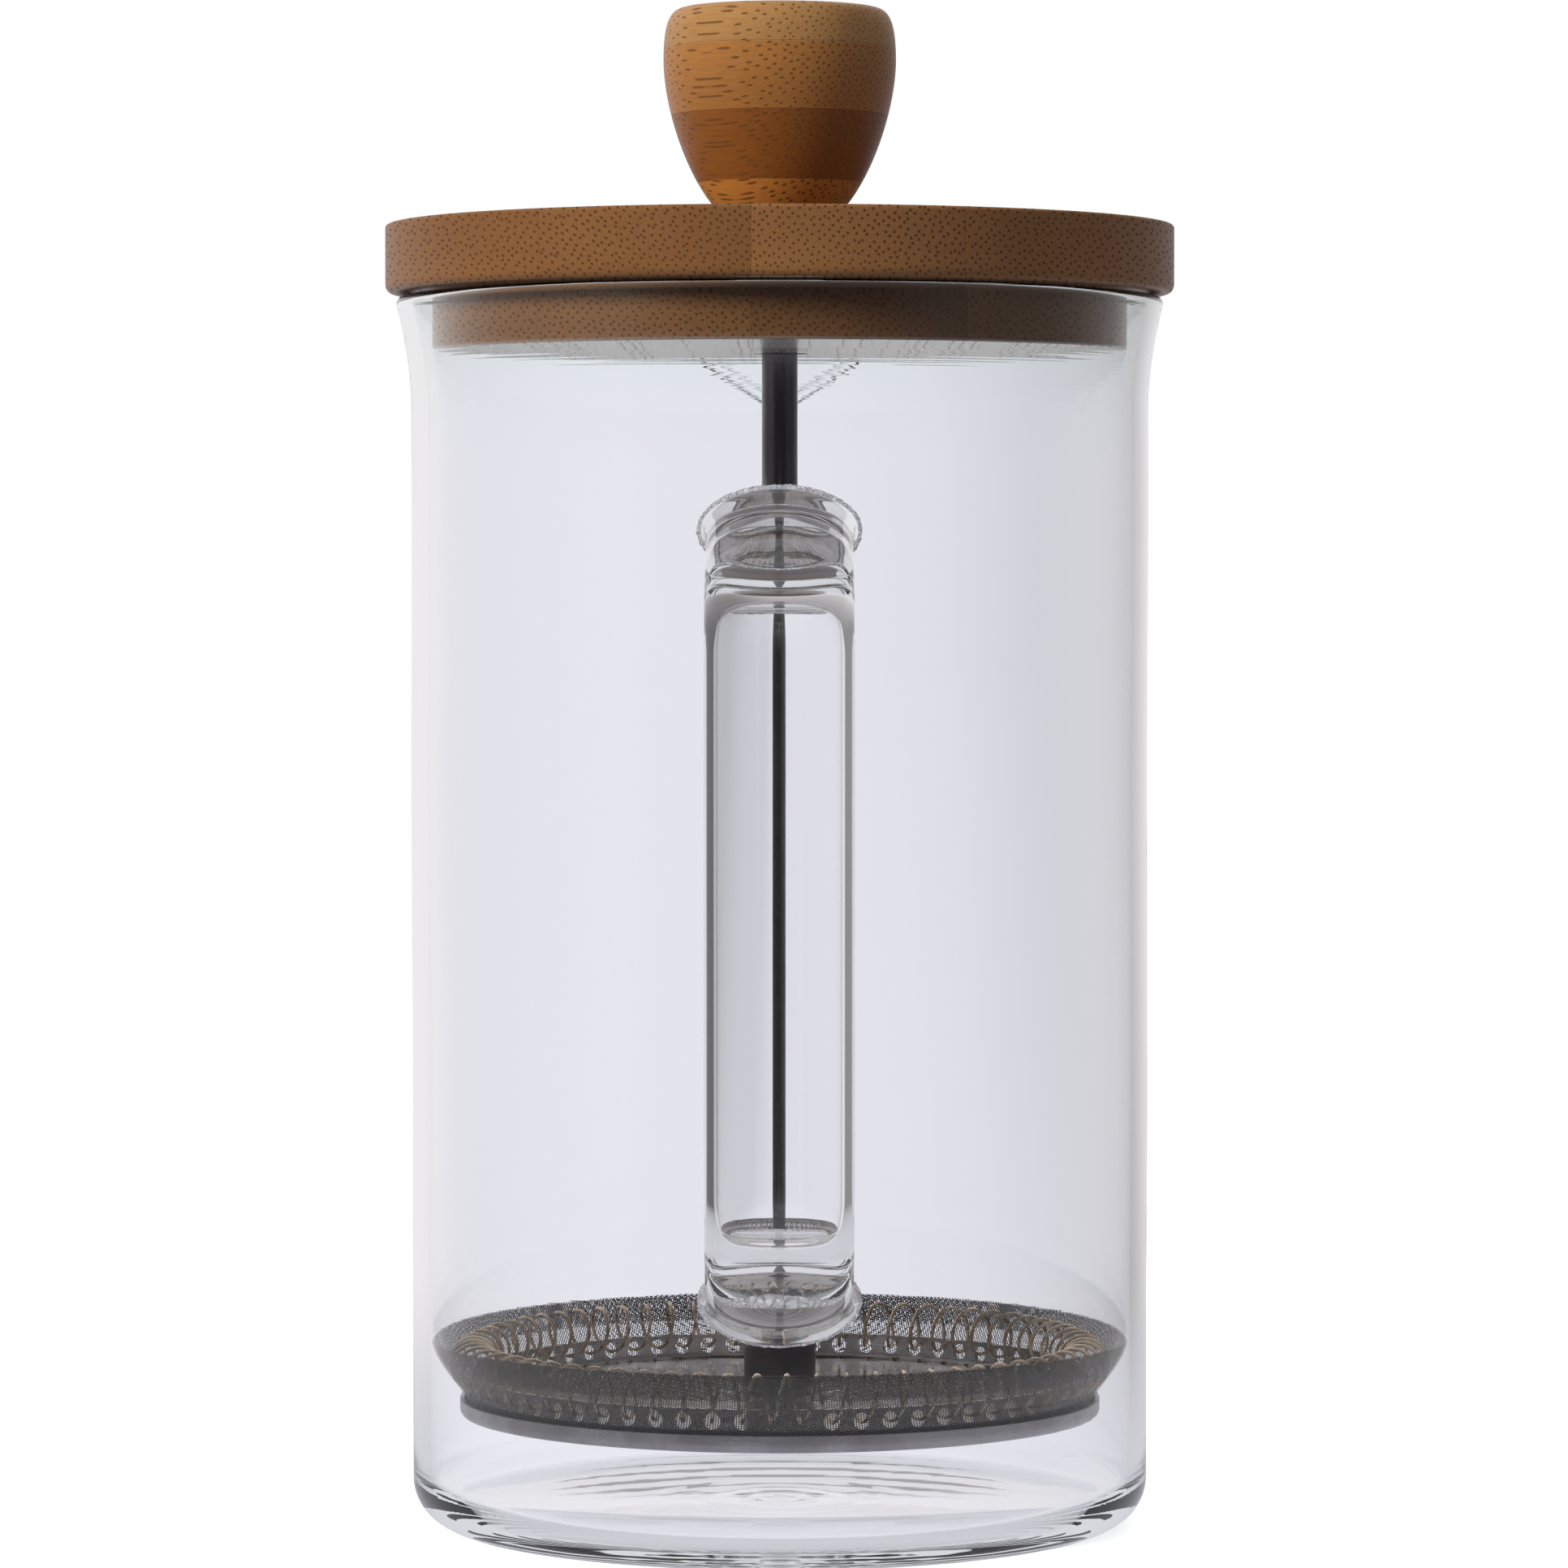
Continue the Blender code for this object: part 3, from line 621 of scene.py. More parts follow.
def beaker_profile():
    """Inside from the middle of the floor to the lip, then outside to the middle of the foot."""
    inner_corner = BASE_CORNER - GLASS_WALL
    inner_reach = wall_reach - GLASS_WALL
    floor = np.linspace(0, inner_reach - inner_corner, FLOOR_ROWS)
    low = np.linspace(BASE_THICKNESS + inner_corner, beaker_height - FLARE_HEIGHT, WALL_ROWS)
    high = np.linspace(beaker_height - FLARE_HEIGHT, lip_height, RIM_ROWS)[1:]
    inside = np.r_[low, high]
    outside = np.r_[np.linspace(BASE_CORNER, beaker_height - FLARE_HEIGHT, WALL_ROWS), high][::-1]
    foot = np.linspace(wall_reach - BASE_CORNER, 0, FLOOR_ROWS)
    share = 1 - foot / foot[0]
    raised = PUSH_UP * share**2 * (3 - 2 * share) + ripples(foot, 0.00010, 0.0040, 0.012)
    return np.concatenate([
        np.stack([floor, BASE_THICKNESS + ripples(floor, 0.00008, 0.0030, 0.013)], -1),
        arc(inner_reach - inner_corner, BASE_THICKNESS + inner_corner, inner_corner, -90, 0,
            CORNER_ROWS)[1:],
        np.stack([outside_of_wall(inside) - GLASS_WALL, inside], -1)[1:],
        arc(outside_of_wall(lip_height) - GLASS_WALL / 2, lip_height, GLASS_WALL / 2, 180, 0,
            LIP_ROWS)[1:],
        np.stack([outside_of_wall(outside), outside], -1)[1:],
        arc(wall_reach - BASE_CORNER, BASE_CORNER, BASE_CORNER, 0, -90, 16)[1:],
        np.stack([foot, raised], -1)[1:],
    ])


def inner_share():
    """For each point of the profile: 1 on the inside, 0 on the outside, and between them on the lip."""
    inside = FLOOR_ROWS + CORNER_ROWS + WALL_ROWS + RIM_ROWS - 3
    share = np.zeros(len(beaker_profile()))
    share[:inside] = 1.0
    share[inside:inside + LIP_ROWS - 1] = np.linspace(1, 0, LIP_ROWS)[1:]
    return share


def beaker_mesh(columns=232):
    """The profile round the axis, closer together near the spout, plus the spout's push along +Y and
    a slow unevenness of the wall."""
    profile = beaker_profile()
    even = np.linspace(0, TURN, columns, endpoint=False)
    compass = even - 0.45 * np.sin(even)  # 0 at the spout, +Y
    r, z = profile[:, :1], profile[:, 1:]
    height_share = np.clip((z - 0.012) / 0.03, 0, 1) * np.clip((beaker_height - z) / 0.02, 0, 1)
    r = r + WAVINESS * height_share * (np.sin(3 * compass + z * 70) + np.sin(5 * compass - z * 110))
    x, y = r * np.sin(compass), r * np.cos(compass)
    inner = inner_share()[:, None]
    rise = SPOUT_HEIGHT - SPOUT_INNER_LAG * inner
    above = np.clip((z - (beaker_height - rise)) / rise, 1e-6, None)
    sideways = np.abs((compass + math.pi) % TURN - math.pi) * wall_reach
    share = np.clip(sideways / (SPOUT_HALF_WIDTH * (1 - SPOUT_INNER_NARROW * inner) * above), 0, 1)
    push = SPOUT_OUT * above**SPOUT_POWER * (1 - share**1.5)
    push = np.where(above > 1e-5, push, 0.0)
    points = np.stack([x + 0 * z, y + push, z + 0 * x], -1)
    return surface("beaker_wall", points, closed_rows=False)


# %% [markdown]
# The handle is a thick strap of solid glass with a rounded oblong section, bent while soft. It is
# the section carried along a flat path: an arm, a bend, the grip, a bend, an arm. Each end widens
# where it was pressed into the wall, and the union with the beaker leaves no surface between them.

# %% The handle
WELD_SPREAD, WELD_LENGTH = 1.10, 0.0040
STRAP_THICKNESS, STRAP_SQUARENESS = 0.0086, 2.0
HANDLE_BEND, HANDLE_SPLAY = 0.0105, 0.0034
handle_low, handle_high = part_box("glass_handle")
strap_width = (handle_high.x - handle_low.x) / WELD_SPREAD
spread_extra = (WELD_SPREAD - 1) * STRAP_THICKNESS / 2
arm_top = handle_high.z - spread_extra - STRAP_THICKNESS / 2
arm_bottom = handle_low.z + spread_extra + STRAP_THICKNESS / 2
grip_y = handle_low.y + STRAP_THICKNESS / 2
weld_y = -(wall_reach - 0.8 * GLASS_WALL)


def strap_section(sides):
    """Superellipse: |across|^n + |through|^n = 1, as points round it."""
    angle = np.linspace(0, TURN, sides, endpoint=False)
    power = 2 / STRAP_SQUARENESS
    across = np.sign(np.cos(angle)) * np.abs(np.cos(angle)) ** power * strap_width / 2
    through = np.sign(np.sin(angle)) * np.abs(np.sin(angle)) ** power * STRAP_THICKNESS / 2
    return across, through


def handle_mesh(sides=64):
    """point = path + across * X + through * the path's normal, both widened near the wall."""
    bend_y = grip_y + HANDLE_BEND
    neck_y = -(wall_reach + WELD_LENGTH)
    path = np.concatenate([
        [(weld_y, arm_top), (neck_y, arm_top)],
        arc(bend_y, arm_top - HANDLE_SPLAY - HANDLE_BEND, HANDLE_BEND, 90, 180, 22),
        arc(bend_y, arm_bottom + HANDLE_SPLAY + HANDLE_BEND, HANDLE_BEND, 180, 270, 22),
        [(neck_y, arm_bottom), (weld_y, arm_bottom)],
    ])
    path = filled(path, 0.0011)
    for _ in range(3):
        path[1:-1] = (path[:-2] + 2 * path[1:-1] + path[2:]) / 4
    along = unit(np.gradient(path, axis=0))
    away = np.clip(-path[:, 0] - wall_reach, 0, None)
    wider = 1 + (WELD_SPREAD - 1) * np.exp(-((away / WELD_LENGTH) ** 2))
    across, through = strap_section(sides)
    x = wider[:, None] * across
    y = path[:, :1] + wider[:, None] * through * along[:, 1:]
    z = path[:, 1:] - wider[:, None] * through * along[:, :1]
    return surface("strap", capped(np.stack([x, y, z], -1)), closed_rows=False)


FOLD_RADIUS = 0.00070
FOLD_SPAN = 0.93  # of each edge of the V, from its point upwards
FOLD_ROUNDING = 0.004  # blunts the point of the V


def fold_mesh(rows=200, sides=20):
    """The raised fold along both edges of the pinch: a tube down one edge of the V and up the other.
    At v between -1 and 1 it is at the compass angle half width * v / radius."""
    along_v = np.linspace(-FOLD_SPAN, FOLD_SPAN, rows)
    compass = SPOUT_HALF_WIDTH * along_v / wall_reach
    z = beaker_height - SPOUT_HEIGHT * (1 - np.sqrt(along_v**2 + FOLD_ROUNDING))
    r = outside_of_wall(z)
    centre = np.stack([r * np.sin(compass), r * np.cos(compass), z], -1)
    along = unit(np.gradient(centre, axis=0))
    out = np.stack([np.sin(compass), np.cos(compass), 0 * z], -1)
    thin = FOLD_RADIUS * np.clip(1 - (np.abs(along_v) / FOLD_SPAN) ** 12, 0.02, 1)[:, None, None]
    return surface("fold", capped(tube(centre, along, out, thin, sides)), closed_rows=False)


glass_mesh = combined(beaker_mesh(), handle_mesh(), "UNION", 50.0)
glass_mesh = combined(glass_mesh, fold_mesh(), "UNION", 50.0)
place("beaker_and_handle", glass_mesh, GLASS, "beaker", "glass", "glass_beaker", "glass_handle")

# %% [markdown]
# Round each weld runs a bead of half-melted glass. It is a thin tube along the line where the strap
# meets the round wall, and its thickness wanders, as the real one's does.

# %% The weld beads
BEAD_RADIUS = 0.00036


def bead_mesh(name, middle_z, seed, rows=220, sides=14):
    """Tube round the strap's outline on the wall: centre (x, -sqrt(R^2 - x^2), z)."""
    across, through = strap_section(rows)
    x, z = across * WELD_SPREAD, middle_z + through * WELD_SPREAD
    y = -np.sqrt((wall_reach + 0.0002) ** 2 - x**2)
    centre = np.stack([x, y, z], -1)
    along = unit(np.roll(centre, -1, 0) - np.roll(centre, 1, 0))
    out = np.stack([x, y, 0 * x], -1) / wall_reach
    luck = np.random.default_rng(seed).normal(0, 1, (rows, sides))
    luck = (luck + np.roll(luck, 1, 0) + np.roll(luck, 1, 1) + np.roll(luck, -1, 0)) / 4
    thick = BEAD_RADIUS * (1 + 0.26 * luck)[..., None]
    return surface(name, tube(centre, along, out, thick, sides))


for end, middle, seed in (("upper", arm_top, 3), ("lower", arm_bottom, 4)):
    place(f"weld_bead_{end}", bead_mesh(f"bead_{end}", middle, seed), WELD, "beaker", "glass")

# %% [markdown]
# ## Bamboo
# Bamboo is pale, soft tissue crossed by dark bundles of fibre. Cut across, each bundle is a dot with
# a lighter heart. Cut along, it is a dark streak. So the pattern is a plane of dots, pushed through
# the whole block along the fibres: any surface then shows what a saw would show. The board is glued
# from strips and layers, and each strip gets its own luck. The group gives masks; colours come later.


# %% Bamboo fibre group
def new_group(name, inputs, outputs):
    """A shader node group with named sockets: group, its inputs, its outputs."""
    group = bpy.data.node_groups.new(name, "ShaderNodeTree")
    for label, kind, value in inputs:
        socket = group.interface.new_socket(label, in_out="INPUT", socket_type="NodeSocket" + kind)
        if kind == "Float":
            socket.default_value = value
    for label, kind in outputs:
        group.interface.new_socket(label, in_out="OUTPUT", socket_type="NodeSocket" + kind)
    entry = {made.name: Value(group, made) for made in group.nodes.new("NodeGroupInput").outputs}
    return group, entry, group.nodes.new("NodeGroupOutput").inputs


def use_group(tree, group, inputs):
    """Places a group in a tree, and gives its outputs."""
    made = tree.nodes.new("ShaderNodeGroup")
    made.node_tree = group
    for key, value in inputs.items():
        put(tree, made.inputs[key], value)
    return {output.name: Value(tree, output) for output in made.outputs}


FIBRE_PITCH = 0.00080  # between neighbouring bundles
GLUE_LINE = 0.00010


def fibre_group():
    """Dots in the X-Z plane, carried along Y. Position is in metres, with Y along the fibres."""
    group, entry, leave = new_group(
        "bamboo_fibres",
        (("Position", "Vector", None), ("Strip Width", "Float", 0.0195), ("Strip Start", "Float", 0.0),
         ("Layer Height", "Float", 0.0079), ("Layer Start", "Float", 0.0), ("Dot Size", "Float", 1.0),
         ("Luck", "Float", 0.0)),
        (("Dots", "Float"), ("Hearts", "Float"), ("Grain", "Float"), ("Tone", "Float"),
         ("Glue", "Float")),
    )
    x, y, z = split(group, entry["Position"])
    strip = (x - entry["Strip Start"]) / entry["Strip Width"]
    layer = (z - entry["Layer Start"]) / entry["Layer Height"]
    strip_no, layer_no = calc(group, "FLOOR", strip), calc(group, "FLOOR", layer)
    luck = add_node(group, "TexWhiteNoise", {"Vector": point(group, strip_no, layer_no, entry["Luck"])})
    luck_x, luck_y, luck_z = split(group, luck.outputs["Color"])
    wander = cloud(group, point(group, x * 60.0, y * 45.0, z * 60.0 + luck_x), 1.0, 1.0)
    lean = (luck_y - 0.5) * 0.35
    plane_x = z * lean + x
    plane_x = wander * 0.0011 + plane_x
    plane_x = luck_x * 0.04 + plane_x
    plane_z = luck_z * 0.04 + z
    turned_x = (plane_x + plane_z) * (0.78 / FIBRE_PITCH)
    turned_z = (plane_x - plane_z) * (0.66 / FIBRE_PITCH)
    cells = add_node(
        group, "TexVoronoi",
        {"Vector": point(group, turned_x, turned_z), "Scale": 1.0, "Randomness": 0.55},
        voronoi_dimensions="2D",
    ).outputs["Distance"]
    patch = cloud(group, point(group, x * 110.0, y * 30.0, z * 160.0), 1.0, 1.0)
    high_in_layer = calc(group, "FRACT", layer)
    size = high_in_layer * 0.34 + 0.52
    size = patch * 0.55 + size
    size = size * entry["Dot Size"]
    size = calc(group, "MAXIMUM", size, 0.05)
    scaled = cells / size
    put(group, leave["Dots"], step(group, scaled, 0.17, 0.28, 1.0, 0.0))
    put(group, leave["Hearts"], step(group, scaled, 0.02, 0.10, 1.0, 0.0))
    grain = cloud(group, point(group, plane_x * 3600.0, y * 130.0, plane_z * 3600.0), 1.0, 3.0, 0.6)
    put(group, leave["Grain"], grain)
    broad = cloud(group, point(group, x * 60.0, y * 12.0, z * 90.0 + luck_z), 1.0, 2.0)
    tone = (broad - 0.5) * 0.9 + 0.2
    tone = luck_y * 0.6 + tone
    put(group, leave["Tone"], tone)
    seams = []
    for share, size_of in ((strip, entry["Strip Width"]), (layer, entry["Layer Height"])):
        near = calc(group, "PINGPONG", share, 0.5)
        seams.append(step(group, near * size_of, 0.0, GLUE_LINE, 1.0, 0.0))
    put(group, leave["Glue"], calc(group, "MAXIMUM", *seams))
    return group


FIBRES = fibre_group()

# %% [markdown]
# One recipe colours all three bamboo pieces: golden tissue, brown bundles, a thin dark glue line, a
# satin oil finish, and faint rings on the flat faces from the lathe tool. The lid's boards run from
# front to back in strips. The knob is a stack of four layers, and the second one from the foot is
# darker wood. The top layer is painted lighter, a painted highlight for the light that falls from
# above.


# %% Bamboo finish
PAINTED_FLAT_SHEEN = (0.58, 0.47, 0.45, 1.0)  # painted reflection: flat faces made pale for the grazing reflection of the bright backdrop


def bamboo(name, golden, brown, bundle, turn, luck, strip, layer, dot_size=0.85, layers=None,
           gloss=0.42, shine=0.35, glue=0.20, painted_sheen=0.0):
    """Bamboo with its fibres turned from Y by an angle. strip and layer are (size, start)."""
    material, tree, shader, place_at = new_finish(name, {"Specular IOR Level": shine})
    x, y, z = split(tree, place_at)
    mapped = add_node(tree, "Mapping", {"Vector": place_at, "Rotation": (0.0, 0.0, turn)}).outputs[0]
    fibres = use_group(tree, FIBRES, {
        "Position": mapped, "Strip Width": strip[0], "Strip Start": strip[1],
        "Layer Height": layer[0], "Layer Start": layer[1], "Dot Size": dot_size, "Luck": luck,
    })
    tissue = blend(tree, step(tree, fibres["Tone"], 0.0, 1.0), golden, brown)
    # the ramp multiplies in the layers' tones; for the knob its top stop is a painted highlight
    if layers:
        share = (z - knob_foot) / (knob_top - knob_foot)
        ramp = add_node(tree, "ValToRGB", {0: share})
        ramp.color_ramp.interpolation = "CONSTANT"
        for number, (start, colour) in enumerate(layers):
            stops = ramp.color_ramp.elements
            stop = stops[number] if number < 2 else stops.new(start)
            stop.position = start
            stop.color = colour
        tissue = blend(tree, 1.0, tissue, ramp.outputs[0], "MULTIPLY")
    shade = fibres["Grain"] * 0.5 + 0.75
    colour = blend(tree, 1.0, tissue, shade, "MULTIPLY")
    colour = blend(tree, fibres["Dots"] * 0.88, colour, bundle)
    colour = blend(tree, fibres["Hearts"] * 0.3, colour, golden)
    colour = blend(tree, fibres["Glue"] * glue, colour, bundle)
    flat = abs(split(tree, add_node(tree, "TexCoord").outputs["Normal"])[2])
    # painted reflection: flat faces blend to a pale colour that stands for the backdrop's grazing
    # reflection
    colour = blend(tree, flat * painted_sheen, colour, PAINTED_FLAT_SHEEN)
    put(tree, shader.inputs["Base Color"], colour)
    roughness = fibres["Grain"] * 0.16 + (gloss - 0.08)
    put(tree, shader.inputs["Roughness"], fibres["Dots"] * 0.1 + roughness)
    rings = cloud(tree, point(tree, off_axis(tree, x, y) * 2600.0, 0.0), 1.0)
    height = fibres["Grain"] * 0.7
    height = fibres["Dots"] * -0.5 + height
    height = fibres["Glue"] * -0.8 + height
    height = height * (1.0 - flat)
    height = rings * (flat * 0.006) + height
    raise_surface(tree, shader, height, 0.00003)
    return material


LID_STRIP = (0.0237, -0.0031)
LID_BAMBOO = bamboo(
    "lid_bamboo", (0.225, 0.103, 0.037, 1), (0.150, 0.066, 0.023, 1), (0.060, 0.023, 0.008, 1),
    0.0, 5.0, LID_STRIP, (0.0300, 0.1300), shine=0.22,
)
PLUG_BAMBOO = bamboo(
    "plug_bamboo", (0.225, 0.106, 0.040, 1), (0.150, 0.068, 0.026, 1), (0.060, 0.024, 0.009, 1),
    0.0, 8.0, LID_STRIP, (0.0300, 0.1200), gloss=0.22, shine=0.50, painted_sheen=0.85,
)
KNOB_LAYERS_AND_TOP_LIGHT = (
    (0.0, (1.40, 1.28, 1.05, 1)),
    (0.184, (0.82, 0.68, 0.56, 1)),
    (0.494, (1.0, 1.0, 1.0, 1)),
    # painted highlight: the top layer's lighter, yellower tone stands for the light from above
    (0.792, (1.26, 1.60, 2.20, 1)),
)
KNOB_BAMBOO = bamboo(
    "knob_bamboo", (0.292, 0.124, 0.031, 1), (0.210, 0.085, 0.021, 1), (0.105, 0.040, 0.012, 1),
    math.radians(129), 11.0, (0.0600, -0.0300), (0.0078, 0.1571), dot_size=0.80,
    layers=KNOB_LAYERS_AND_TOP_LIGHT, glue=0.45,
)

# %% [markdown]
# The lid is a flat disc, and the plug below it keeps it centred in the beaker. Both are turned, with
# a softened corner at every edge, larger below than above.

# %% Lid disc and plug
bore = sleeve_reach + GAP
disc_corners = [(bore, lid_foot), (lid_reach, lid_foot), (lid_reach, lid_top), (bore, lid_top)]
disc_cuts = (0.0002, 0.0012, 0.0005, 0.0004)
disc_mesh = turned_ring("lid_disc_turned", disc_corners, disc_cuts, 10, 0.0012, 288)
place("lid_disc_bamboo", disc_mesh, LID_BAMBOO, "lid", "bamboo", "lid_disc")

plug_corners = [(bore, plug_foot), (plug_reach, plug_foot), (plug_reach, plug_top), (bore, plug_top)]
plug_cuts = (0.0003, 0.0004, 0.0004, 0.0002)
plug_mesh = turned_ring("lid_plug_turned", plug_corners, plug_cuts, 7, 0.0012, 256)
place("lid_plug_bamboo", plug_mesh, PLUG_BAMBOO, "lid", "bamboo", "lid_plug")

# %% [markdown]
# The knob is a tapering body with a rounded shoulder and a nearly flat top, bored from below for its
# brass insert. Two curves join at the widest place, where both run straight up.

# %% Knob
KNOB_FOOT_RADIUS, KNOB_BELLY, KNOB_SHOULDER, KNOB_DOME = 0.0058, 0.0190, 0.0024, 0.00045
belly = knob_foot + KNOB_BELLY
shoulder = knob_top - KNOB_DOME
knob_bore = insert_reach + GAP
knob_profile = np.concatenate([
    bezier((0.0, knob_top), (knob_reach / 3, knob_top), (0.6 * knob_reach, shoulder + 0.0003),
           (knob_reach - KNOB_SHOULDER, shoulder), 14),
    bezier((knob_reach - KNOB_SHOULDER, shoulder), (knob_reach - KNOB_SHOULDER / 5, shoulder),
           (knob_reach, (2 * belly + 3 * shoulder) / 5), (knob_reach, belly), 18)[1:],
    bezier((knob_reach, belly), (knob_reach, knob_foot + 0.7 * KNOB_BELLY),
           (0.4 * KNOB_FOOT_RADIUS + 0.6 * knob_reach, knob_foot + 0.2 * KNOB_BELLY),
           (KNOB_FOOT_RADIUS + 0.0003, knob_foot + 0.0004), 34)[1:],
    [(KNOB_FOOT_RADIUS, knob_foot), (knob_bore, knob_foot), (knob_bore, insert_top + 0.0005),
     (0.0, insert_top + 0.0005)],
])
knob_mesh = turned("knob_turned", filled(knob_profile, 0.0008), 160, closed=False)
place("knob_bamboo", knob_mesh, KNOB_BAMBOO, "knob", "bamboo", "knob")

# %% [markdown]
# ## Metal
# Turned and pressed steel is never even: the tool leaves rings round the axis, and hands and
# washing leave cloudy patches that change how sharply it shines. Both are masks in one group, which
# every metal here uses with its own strength.


# %% Turning marks group
def marks_group():
    """Rings: noise read along the radius and the height only. Clouds: slow noise in space."""
    group, entry, leave = new_group(
        "turning_marks",
        (("Position", "Vector", None), ("Ring Pitch", "Float", 0.0002), ("Cloud Size", "Float", 0.008)),
        (("Rings", "Float"), ("Clouds", "Float")),
    )
    x, y, z = split(group, entry["Position"])
    across = off_axis(group, x, y) / entry["Ring Pitch"]
    upward = z / entry["Ring Pitch"]
    put(group, leave["Rings"], cloud(group, point(group, across, upward), 1.0, 2.0, 0.6))
    size = 1.0 / entry["Cloud Size"]
    put(group, leave["Clouds"], cloud(group, entry["Position"], size, 3.0, 0.6))
    return group


MARKS = marks_group()


def metal(name, colour, worn, gloss, ring_pitch=0.0002, ring_depth=0.000004):
    """A metal whose colour goes to worn in the clouds. gloss is (sharpest, dullest) roughness."""
    material, tree, shader, place_at = new_finish(name, {"Metallic": 1.0})
    marks = use_group(tree, MARKS, {"Position": place_at, "Ring Pitch": ring_pitch})
    cloudy = step(tree, marks["Clouds"], 0.35, 0.65)
    put(tree, shader.inputs["Base Color"], blend(tree, cloudy, colour, worn))
    spread = marks["Rings"] * 0.5 + cloudy * 0.5
    put(tree, shader.inputs["Roughness"], step(tree, spread, 0.1, 0.9, gloss[0], gloss[1]))
    raise_surface(tree, shader, marks["Rings"], ring_depth)
    return material


ROD_STEEL = metal("rod_steel", (0.20, 0.19, 0.20, 1), (0.15, 0.145, 0.155, 1), (0.16, 0.26))
COLLAR_STEEL = metal("collar_steel", (0.19, 0.18, 0.18, 1), (0.14, 0.135, 0.14, 1), (0.26, 0.40))
PLATE_STEEL = metal("plate_steel", (0.46, 0.43, 0.42, 1), (0.34, 0.32, 0.31, 1), (0.10, 0.22))
PAN_STEEL = metal("pan_steel", (0.38, 0.37, 0.385, 1), (0.30, 0.29, 0.30, 1), (0.22, 0.36))
PLAIN_STEEL = metal("plain_steel", (0.60, 0.59, 0.59, 1), (0.50, 0.49, 0.49, 1), (0.24, 0.38))
SPRING_STEEL = metal(
    "spring_steel", (0.66, 0.54, 0.40, 1), (0.48, 0.38, 0.28, 1), (0.18, 0.30), 0.0009, 0.000002
)
BRASS = metal("turned_brass", (0.72, 0.53, 0.25, 1), (0.58, 0.41, 0.18, 1), (0.22, 0.40))

# %% [markdown]
# The plunger's rod runs from the nut under the filter to the insert in the knob. The collar above
# the filter holds the plates against the nut. Both are turned, with a small chamfer at each end.

# %% Rod, collar and nut
rod_corners = [(0.0, rod_foot), (rod_reach, rod_foot), (rod_reach, rod_top), (0.0, rod_top)]
rod_profile = filled(softened(rod_corners, (0.0, 0.0004, 0.0004, 0.0), 5), 0.004)
place("rod_turned", turned("rod", rod_profile, 64, closed=False), ROD_STEEL,
      "plunger", "dark_steel", "plunger_rod")

collar_bore = rod_reach + SCREWED
COLLAR_CONE = 0.0016
collar_corners = [
    (collar_bore, collar_foot), (collar_reach, collar_foot), (collar_reach, collar_top - COLLAR_CONE),
    (collar_reach - 0.0012, collar_top - 0.0003), (collar_bore, collar_top),
]
collar_cuts = (0.00005, 0.0003, 0.0006, 0.0005, 0.00005)
collar_mesh = turned_ring("collar", collar_corners, collar_cuts, 8, 0.0008, 96)
place("collar_turned", collar_mesh, COLLAR_STEEL, "plunger", "dark_steel", "rod_collar")


NUT_RISE, NUT_SLOPE = 0.0006, 1.6


def nut_mesh(columns=144):
    """Six flats: the radius is the flat's distance over cos of the angle from its middle, and a
    cone at each end takes the corners off: the radius never passes corner - rise * slope."""
    angle = np.linspace(0, TURN, columns, endpoint=False)
    half = math.pi / 6  # of the angle that one flat spans
    flat = nut_reach * math.cos(half) / np.cos((angle + half) % (2 * half) - half)
    rise = np.r_[0.0, 0.1, 0.25, 0.45, 0.7, 1.0] * NUT_RISE
    z = np.r_[nut_foot + rise, nut_top - rise[::-1]]
    near_end = np.minimum(z - nut_foot, nut_top - z)[:, None]
    outer = np.minimum(flat, nut_reach - NUT_RISE + near_end * NUT_SLOPE)
    inner = np.full((1, columns), rod_reach + SCREWED)
    radius = np.concatenate([inner, outer, inner])
    return surface("nut", round_axis(radius, np.r_[nut_foot, z, nut_top][:, None], angle))


place("nut_cut", nut_mesh(), PLAIN_STEEL, "pan", "steel", "plate_nut")

# %% [markdown]
# ## The filter
# From the top down: a perforated dish, a long spring threaded through its holes, a dish of wire
# cloth with a folded hem, and a shallow pan. The sheet parts are pressed, so each is a middle line
# with a rounded bend at every corner, given its thickness to both sides, and drilled afterwards.

# %% Spring plate and pan
PLATE_SHEET = 0.0005
PAN_DEPTH = 0.0020  # from the pan's rim to its floor
DRILL_DEPTH = 0.003
HUB_FIELD, HUB_SLOPE = 0.0070, 0.0015
DRAIN_RADIUS, DRAIN_RING, DRAIN_COUNT = 0.0075, 0.0215, 6
hub_bore = rod_reach + GAP
plate_middle = collar_foot - GAP - PLATE_SHEET / 2


def pressed_line(middle, floor, wall, top, bend):
    """Hub field, slope, floor, bend, wall: the middle line of a pressed dish."""
    corners = [(hub_bore, middle), (HUB_FIELD, middle), (HUB_FIELD + HUB_SLOPE, floor), (wall, floor),
               (wall, top)]
    return filled(softened(corners, (0.0, 0.0005, 0.0005, bend, 0.0), 8), 0.0010)


def drains(height):
    """A ring of upright drill places."""
    angles = TURN * np.arange(DRAIN_COUNT)[:, None] / DRAIN_COUNT
    places = round_axis(DRAIN_RING, height, angles)
    return [Matrix.Translation(at) for at in places.reshape(-1, 3)]


plate_line = pressed_line(plate_middle, plate_foot + PLATE_SHEET / 2, plate_reach - PLATE_SHEET / 2,
                          plate_top, 0.0009)
plate_mesh = turned("plate", sheet(plate_line, PLATE_SHEET), 272)

